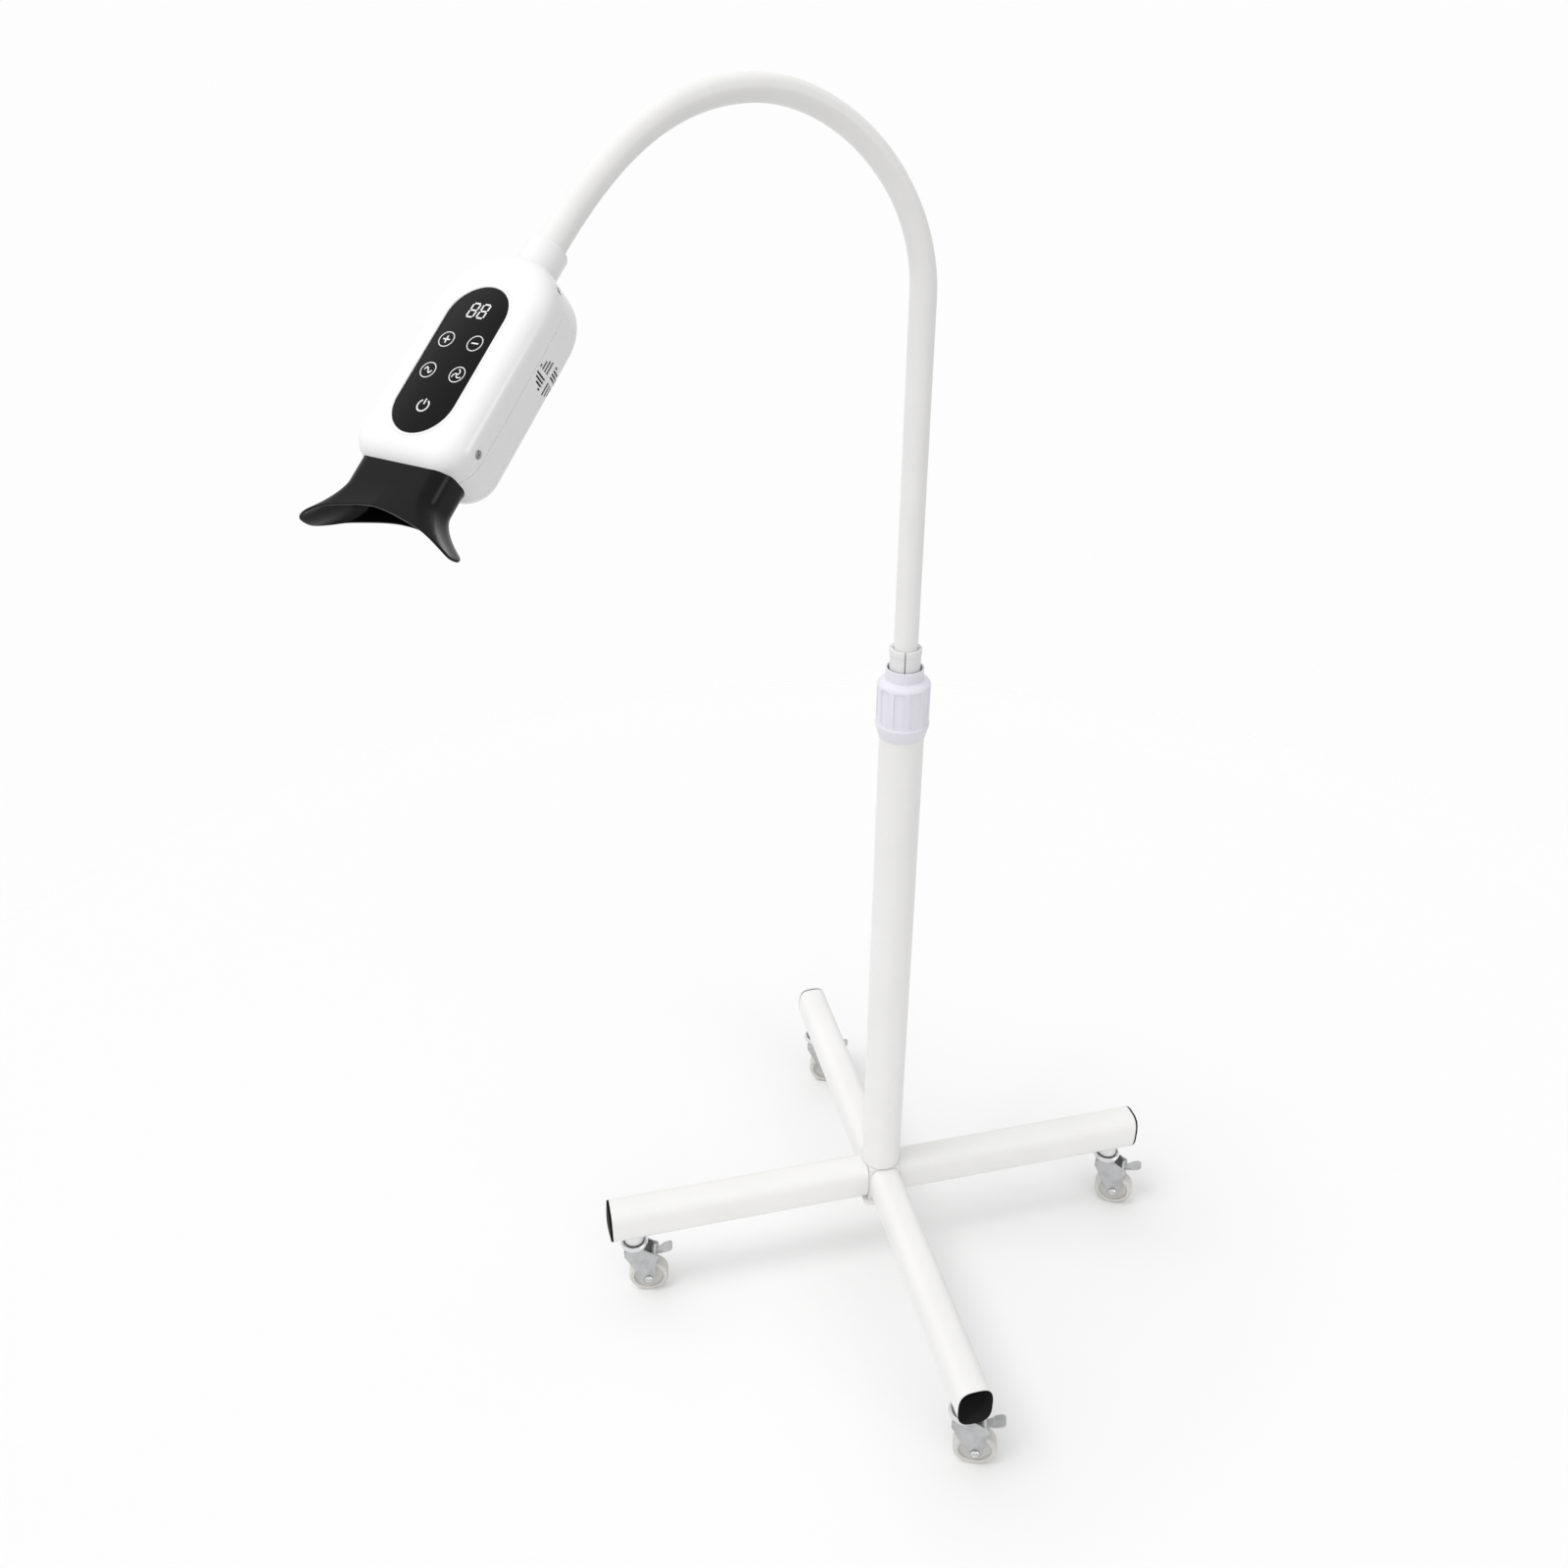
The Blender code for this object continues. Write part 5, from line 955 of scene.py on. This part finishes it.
def stroke_sides(points, width, closed):
    """The two sides of a stroke of even width through (Y, Z) points, with square ends."""
    half = width / 2
    left, right = [], []
    count = len(points)
    for index, (y, z) in enumerate(points):
        before = points[index - 1] if closed or index else points[index]
        after = points[(index + 1) % count] if closed or index < count - 1 else points[index]
        dy, dz = after[0] - before[0], after[1] - before[1]
        size = math.hypot(dy, dz) or 1
        ny, nz = -dz / size, dy / size
        left.append((y + ny * half, z + nz * half))
        right.append((y - ny * half, z - nz * half))
    return left, right


def ink_piece(name, strokes, y, z):
    """Thin printed marks on the panel: each stroke is (points, width, closed)."""
    made = bmesh.new()
    for points, width, closed in strokes:
        sides = stroke_sides(points, width, closed)
        lows, highs = (
            [[made.verts.new((x, *point)) for point in side] for side in sides] for x in (0, INK)
        )
        count = len(points)
        for i in range(count if closed else count - 1):
            j = (i + 1) % count
            made.faces.new((highs[0][i], highs[0][j], highs[1][j], highs[1][i]))
            made.faces.new((lows[0][j], lows[0][i], lows[1][i], lows[1][j]))
            made.faces.new((lows[0][i], lows[0][j], highs[0][j], highs[0][i]))
            made.faces.new((lows[1][j], lows[1][i], highs[1][i], highs[1][j]))
        if not closed:
            for i in (0, count - 1):
                made.faces.new((lows[0][i], lows[1][i], highs[1][i], highs[0][i]))
    piece = from_bmesh(name, made, PRINT, move(FRONT + 0.00002, y, z), smooth=False)
    settle(in_head(piece), "head", "led_board_white")


def digit(offset):
    """A figure eight in seven bars, leaning a little."""
    half_w, half_h, gap, lean, width = 0.0030, 0.0058, 0.0006, 0.10, 0.0013
    ends = [((-half_w + gap, z), (half_w - gap, z)) for z in (-half_h, 0, half_h)]
    for y in (-half_w, half_w):
        ends += [((y, gap), (y, half_h - gap)), ((y, -half_h + gap), (y, -gap))]
    return [([(offset + y + z * lean, z) for y, z in bar], width, False) for bar in ends]


def make_icons():
    """Display figures and the five key symbols."""
    ring = (circle(0.0062), 0.0007, True)
    across = ([(-0.0030, 0), (0.0030, 0)], 0.0011, False)
    upward = ([(0, -0.0030), (0, 0.0030)], 0.0011, False)
    wave = [(-0.0034 + 0.0068 * i / 16, 0.0022 * math.sin(2 * math.pi * i / 16)) for i in range(17)]
    swirl = [ring]
    for blade in range(3):
        points = []
        for share in (i / 8 for i in range(9)):
            angle = 2 * math.pi * blade / 3 + 1.7 * share
            points.append((0.0044 * share * math.cos(angle), 0.0044 * share * math.sin(angle)))
        swirl.append((points, 0.0009, False))
    power = [
        (arc((0, 0), 0.0047, QUARTER + 0.55, 2.5 * math.pi - 0.55, 32), 0.0011, False),
        ([(0, 0.0010), (0, 0.0056)], 0.0011, False),
    ]
    ink_piece("display_figures", digit(-0.0046) + digit(0.0046), 0, -0.0570)
    ink_piece("key_plus", [ring, across, upward], -0.0130, -0.0835)
    ink_piece("key_minus", [ring, across], 0.0130, -0.0835)
    ink_piece("key_mode", [ring, (wave, 0.0010, False)], -0.0133, -0.1100)
    ink_piece("key_fan", swirl, 0.0133, -0.1100)
    ink_piece("key_power", power, 0, -0.1380)


def hood_section(length, outline):
    """One level of the hood, from its edge at the head, 0, to its lip, 1."""
    start = 0.40
    flare = (max(length - start, 0) / (1 - start)) ** 1.6
    middle, half_depth = (HOOD_FRONT - HOOD_BACK) / 2, (HOOD_FRONT + HOOD_BACK) / 2
    points = []
    for x, y in outline:
        across = abs(y) / HOOD_HALF
        aside = (x - middle) / half_depth
        wing = (HOOD_WING - HOOD_MIDDLE) * across**2.2
        reach = HOOD_MIDDLE + wing - 0.0070 * (1 - aside) / 2 - 0.0060 * aside**2 * across**2.2
        spread = math.copysign(HOOD_SPREAD * flare * across**3, y)
        deep = math.copysign(0.0020 * flare * (1 - across), aside)
        points.append(Vector((x + deep, y + spread, -HEAD_LENGTH - reach * length)))
    return points


def make_hood():
    """A plug in the head, then a trough that flares to its lip. Its long sides get more points to bend."""
    outline = rounded(-HOOD_BACK, HOOD_FRONT, -HOOD_HALF, HOOD_HALF, HOOD_CORNER, 12)
    dense = []
    for point, after in zip(outline, outline[1:] + outline[:1]):
        dense.append(point)
        if abs(after[1] - point[1]) > 0.013:
            dense += between(point, after, 30)
        elif abs(after[0] - point[0]) > 0.006:
            dense += between(point, after, 6)
    count = 26
    rings = [level(dense, -HEAD_LENGTH + HOOD_PLUG), level(dense, -HEAD_LENGTH)]
    rings += [hood_section(k / count, dense) for k in range(1, count + 1)]
    made = bmesh.new()
    bridge(made, [[made.verts.new(point) for point in ring] for ring in rings])
    hood = from_bmesh("hood_shell", made, HOOD, angle=0.9)
    if sum(p.normal.dot(p.center - Vector((0, 0, p.center.z))) for p in hood.data.polygons) < 0:
        hood.data.flip_normals()
    modify(hood, "SOLIDIFY", thickness=0.0018, offset=-1, use_even_offset=True)
    modify(hood, "BEVEL", width=0.0005, segments=3, limit_method="ANGLE", angle_limit=0.9)
    apply_modifiers(hood)
    settle(in_head(hood), "hood", "hood_black", "mouth_hood")


# casters

TRAIL, AXLE_Z = 0.016, 0.025
RACE_FOOT, RACE_BORE = 0.0767, 0.0043
PIVOT_X, PIVOT_Z = 0.0245, 0.0625
WHEEL_HALF, WHEEL_RADIUS = 0.009, 0.025
CHEEK_GAP, CHEEK_WALL = 0.0014, 0.0018


def caster_place(n):
    """Where the caster's swivel axis meets the floor, turned to its heading."""
    pivot, axle = (Vector(JOINTS[f"{kind}_{n}"]["pos_m"]) for kind in ("swivel", "roll"))
    heading = math.atan2(axle.y - pivot.y, axle.x - pivot.x)
    return move(pivot.x, pivot.y) @ turned(heading, "Z")


def on_axle(at, aside=0.0):
    return at @ move(TRAIL, aside, AXLE_Z) @ turned(QUARTER, "X")


def make_wheel(n, at):
    """Nylon wheel with a raised hub, sunk flanks and a rounded, faintly crowned tread."""
    hub = [
        (0.0033, -0.0004), (0.0037, 0), (0.0070, 0), (0.0076, -0.0006), (0.0078, -0.0030), (0.0084, -0.0036),
        (0.0178, -0.0036), (0.0186, -0.0030), (0.0190, -0.0004), (0.0195, 0), (0.0214, 0),
    ]
    shoulder, crown = 0.0032, [(WHEEL_RADIUS - 0.0001, WHEEL_HALF - 0.0048), (WHEEL_RADIUS, 0)]
    upper = risen(hub, WHEEL_HALF)
    upper += arc((WHEEL_RADIUS - shoulder, WHEEL_HALF - shoulder), shoulder, QUARTER, 0.25, 6)
    wheel = lathe(f"wheel_{n}_tyre", upper + crown + mirrored(upper + crown[:1]), NYLON, 72, on_axle(at))
    settle(wheel, f"wheel_{n}", "wheel_nylon", f"caster_{n}_wheel")


def make_axle(n, at):
    """Rivet with a hollow, rolled head on each side."""
    head = [
        (0, 0.0014), (0.0010, 0.0012), (0.0017, 0.0006), (0.0022, 0.0001), (0.0025, 0.0002), (0.0028, 0.0018),
        (0.0032, 0.0023), (0.0038, 0.0022), (0.0045, 0.0014), (0.0050, 0.0004), (0.0050, 0), (0.0030, 0),
    ]
    upper = risen(head, WHEEL_HALF + CHEEK_GAP + CHEEK_WALL + CLEAR)
    axle = lathe(f"caster_{n}_rivet", upper + mirrored(upper), BRIGHT, 32, on_axle(at))
    settle(axle, f"caster_{n}", "bolt_steel", f"caster_{n}_axle")


def make_stem(n, at):
    """Pin in the leg, a dome under it and the pivot pin below."""
    foot, top = 0.0860, LEG_LOW - CLEAR
    profile = risen([(0, 0.024), (0.0042, 0.024), (0.0050, 0.0232), (0.0050, 0), (0.0085, 0)], top)
    for k in range(1, 9):
        a = QUARTER * k / 8
        profile.append((0.0085 + 0.0034 * math.sin(a), foot + (top - foot) * (math.cos(a) * 0.86 + 0.14)))
    pin = [(0.0120, 0.0004), (0.0116, 0), (0.0040, 0), (0.0040, -0.0120), (0.0036, -0.0125), (0, -0.0125)]
    stem = lathe(f"caster_{n}_stem_cap", profile + risen(pin, foot), BUSH, MEDIUM, at)
    settle(stem, "base", "bush_white", f"caster_{n}_stem")


def cheek_outline():
    """A fork cheek about its axle: a wide top, an ear to the lever's pivot and an eye round the axle."""
    top = 0.0517 - 0.0009
    left, right = -TRAIL - 0.0130, -TRAIL + 0.0130
    ear = arc((PIVOT_X - TRAIL, PIVOT_Z - AXLE_Z), 0.0055, QUARTER, -math.pi / 3, 10)
    eye = arc((0, 0), 0.0085, 0, -math.pi, 18)
    return [(left, top), (right, top), *ear, *eye, (left, 0.0417)]


def make_fork(n, at):
    """Pressed fork: two cheeks, a crown with rolled shoulders and the bowl of the ball race."""
    top = RACE_FOOT + 0.009
    lip = [
        (RACE_BORE, -0.0026), (0.0125, -0.0026), (0.0138, -0.0018), (0.0146, -0.0003), (0.0153, 0),
        (0.0163, -0.0004), (0.0172, -0.0018), (0.0175, -0.0036),
    ]
    bowl = [(0.0173, 0.0034), (0.0166, 0.0022), (0.0158, 0.0012), (0.0150, 0), (RACE_BORE, 0)]
    race = lathe(f"caster_{n}_race", risen(lip, top) + risen(bowl, RACE_FOOT), BRIGHT, 64, at, angle=0.7)
    settle(race, f"caster_{n}", "bolt_steel")
    eye, hole = circle(0.0033, 24)[::-1], circle(RACE_BORE, 32)[::-1]
    cheeks = []
    for side in (1, -1):
        place = on_axle(at, side * (WHEEL_HALF + CHEEK_GAP + CHEEK_WALL / 2))
        cheeks.append(
            sheet_metal(f"cheek_{n}_{side}", cheek_outline(), CHEEK_WALL, ZINC, place, [eye], 0.00035)
        )
    outline = rounded(-0.0129, 0.0129, -0.0127, 0.0127, 0.0050)
    place = at @ move(z=RACE_FOOT - 0.0010)
    crown = sheet_metal(f"caster_{n}_crown", outline, 0.0020, ZINC, place, [hole], 0.0007, 3)
    yoke = join_pieces(f"caster_{n}_yoke", [crown, *cheeks], ZINC)
    settle(yoke, f"caster_{n}", "zinc_plate", f"caster_{n}_fork")


def make_lever(n, at):
    """Brake lever: cross barrel, a channel that widens into a rimmed pad with a stop, and the shoe below."""
    pivot = at @ move(PIVOT_X, 0, PIVOT_Z)
    raised = pivot @ turned(-math.radians(21), "Y")
    half = WHEEL_HALF + CHEEK_GAP - CLEAR
    end = [(0, half), (0.0026, half), (0.0030, half - 0.0004)]
    barrel = lathe(f"lever_{n}_barrel", end + mirrored(end), ZINC, 32, pivot @ turned(QUARTER, "X"))
    pad_rings = []
    for inset, height in (
        (0.0004, -0.0010), (0, -0.0006), (0, 0.0006), (0.0004, 0.0010), (0.0013, 0.0010), (0.0018, 0.0005),
        (0.0024, 0.0005),
    ):
        side = 0.0081 - inset
        pad_rings.append(level(rounded(0.0096 + inset, 0.0250 - inset, -side, side, 0.0046 - inset), height))
    pad = loft(f"lever_{n}_pad", pad_rings, ZINC, raised)
    shank_rings = []
    for reach, wide in ((0.0006, 0.0046), (0.0104, 0.0062)):
        inner = wide - 0.0012
        section = (
            (-wide, -0.0020), (-wide, 0.0004), (-inner, 0.0009), (inner, 0.0009), (wide, 0.0004),
            (wide, -0.0020), (inner, -0.0020), (inner, -0.0004), (-inner, -0.0004), (-inner, -0.0020),
        )
        shank_rings.append(upright(section, reach))
    shank = loft(f"lever_{n}_shank", shank_rings, ZINC, raised)
    knob = [(0, -0.0008), (0.0013, -0.0008), (0.0014, -0.0024), (0.0010, -0.0029), (0, -0.0030)]
    stop = lathe(f"lever_{n}_stop", knob, CAP, SMALL, raised @ move(0.0205, -0.0040))
    settle(stop, f"brake_{n}", "cap_black")
    towards = math.atan2(PIVOT_X - TRAIL, PIVOT_Z - AXLE_Z) - math.radians(18)
    place = pivot @ turned(towards, "Y") @ move(z=-0.0064) @ turned(QUARTER, "Y")
    outline = rounded(-0.0062, 0.0064, -0.0050, 0.0050, 0.0016, 5)
    shoe = sheet_metal(f"lever_{n}_shoe", outline, 0.0036, ZINC, place, (), 0.0006, 3)
    lever = join_pieces(f"lever_{n}_pressed", [barrel, pad, shank, shoe], ZINC)
    settle(lever, f"brake_{n}", "zinc_plate", f"caster_{n}_brake_lever")


def make_casters():
    for n in range(1, 5):
        at = caster_place(n)
        for make in (make_wheel, make_axle, make_stem, make_fork, make_lever):
            make(n, at)


make_legs()
make_column()
make_lock_collar()
make_collet()
make_inlet()
make_hub_bolt()
make_mast()
make_shells()
make_grille_shade_sheets()
make_screws()
make_neck_collar()
make_panel()
make_icons()
make_hood()
make_casters()


# floor, light and camera

BRIGHT_SIDE = (-0.35, 0.45, 0.82)
LAMPS = (
    ("key_left", (-0.35, 0.25, 0.90), 0.80, 24, "visible_glossy"),
    ("fill_right", (-0.55, -0.75, 0.36), 0.52, 60, "visible_glossy"),
    ("glint_right", (0.12, -0.95, 0.28), 0.34, 22, "visible_diffuse"),
)


def make_stage():
    """A wide pale floor that keeps the shadow and thins out to the white behind it."""
    made = bmesh.new()
    bmesh.ops.create_grid(made, x_segments=8, y_segments=8, size=3.2)
    tree = Tree("studio_floor")
    grain = tree.noise(3, 2, 0.5)
    distance = tree.node("ShaderNodeVectorMath", {"operation": "LENGTH"}, {0: tree.place()}, output=1)
    faded = tree.node(
        "ShaderNodeMapRange",
        {"clamp": True, "interpolation_type": "SMOOTHSTEP"},
        {"Value": distance, "From Min": 0.75, "From Max": 2.2},
    )
    tree.set(
        Base_Color=tree.mix(grain * 0.3, grey(0.86), grey(0.85)),
        Roughness=0.8,
        Specular_IOR_Level=0.1,
        Alpha=1 - faded,
    )
    floor = from_bmesh("studio_floor", made, tree.holder, smooth=False)


def sun(name, towards, strength, softness):
    """A far, soft lamp whose light comes from the direction given."""
    data = bpy.data.lights.new(name, "SUN")
    data.energy = strength
    data.angle = math.radians(softness)
    lamp = placed(name, data)
    lamp.location = Vector(towards) * 4
    lamp.rotation_euler = Vector(towards).to_track_quat("Z", "Y").to_euler()
    return lamp


def make_world():
    """White to the camera, in mirrors and through glass.

    Its light is bright above and on the picture's left, and dim low on its right.
    """
    tree = Tree("studio", bpy.data.worlds)
    bpy.context.scene.world = tree.holder

    def blend(share, first, second):
        return tree.node("ShaderNodeMixShader", None, {0: share, 1: first, 2: second})

    dim, bright, white = (
        tree.node("ShaderNodeBackground", None, {"Color": grey(1), "Strength": strength})
        for strength in (0.38, 1.0, 0.985)
    )
    direction = tree.node("ShaderNodeTexCoord", output="Generated")
    lean = tree.node(
        "ShaderNodeVectorMath", {"operation": "DOT_PRODUCT"}, {0: direction, 1: BRIGHT_SIDE}, "Value"
    )
    share = tree.node(
        "ShaderNodeMapRange",
        {"interpolation_type": "SMOOTHSTEP"},
        {"Value": lean, "From Min": -0.6, "From Max": 0.95},
    )
    seen = blend(share, dim, bright)
    for kind in ("Is Glossy Ray", "Is Transmission Ray", "Is Camera Ray"):
        seen = blend(tree.node("ShaderNodeLightPath", output=kind), seen, white)
    tree.fill(tree.nodes["World Output"].inputs["Surface"], seen)


def make_camera():
    azimuth, pitch = math.radians(-58.589), math.radians(30.250)
    data = bpy.data.cameras.new("photo_view")
    data.sensor_width = 36
    data.lens = 31.335
    data.clip_start, data.clip_end = 0.05, 60
    camera = placed("photo_view", data)
    flat = math.cos(pitch)
    back = Vector((math.sin(azimuth) * flat, -math.cos(azimuth) * flat, math.sin(pitch)))
    camera.location = (-1.1573, -0.5603, 1.4547)
    camera.rotation_mode = "QUATERNION"
    camera.rotation_quaternion = (-back).to_track_quat("-Z", "Y")
    bpy.context.scene.camera = camera


make_stage()
make_world()
make_camera()
for lamp_name, towards, strength, softness, unseen in LAMPS:
    setattr(sun(lamp_name, towards, strength, softness), unseen, False)

view = bpy.context.scene.view_settings
view.view_transform = "Standard"
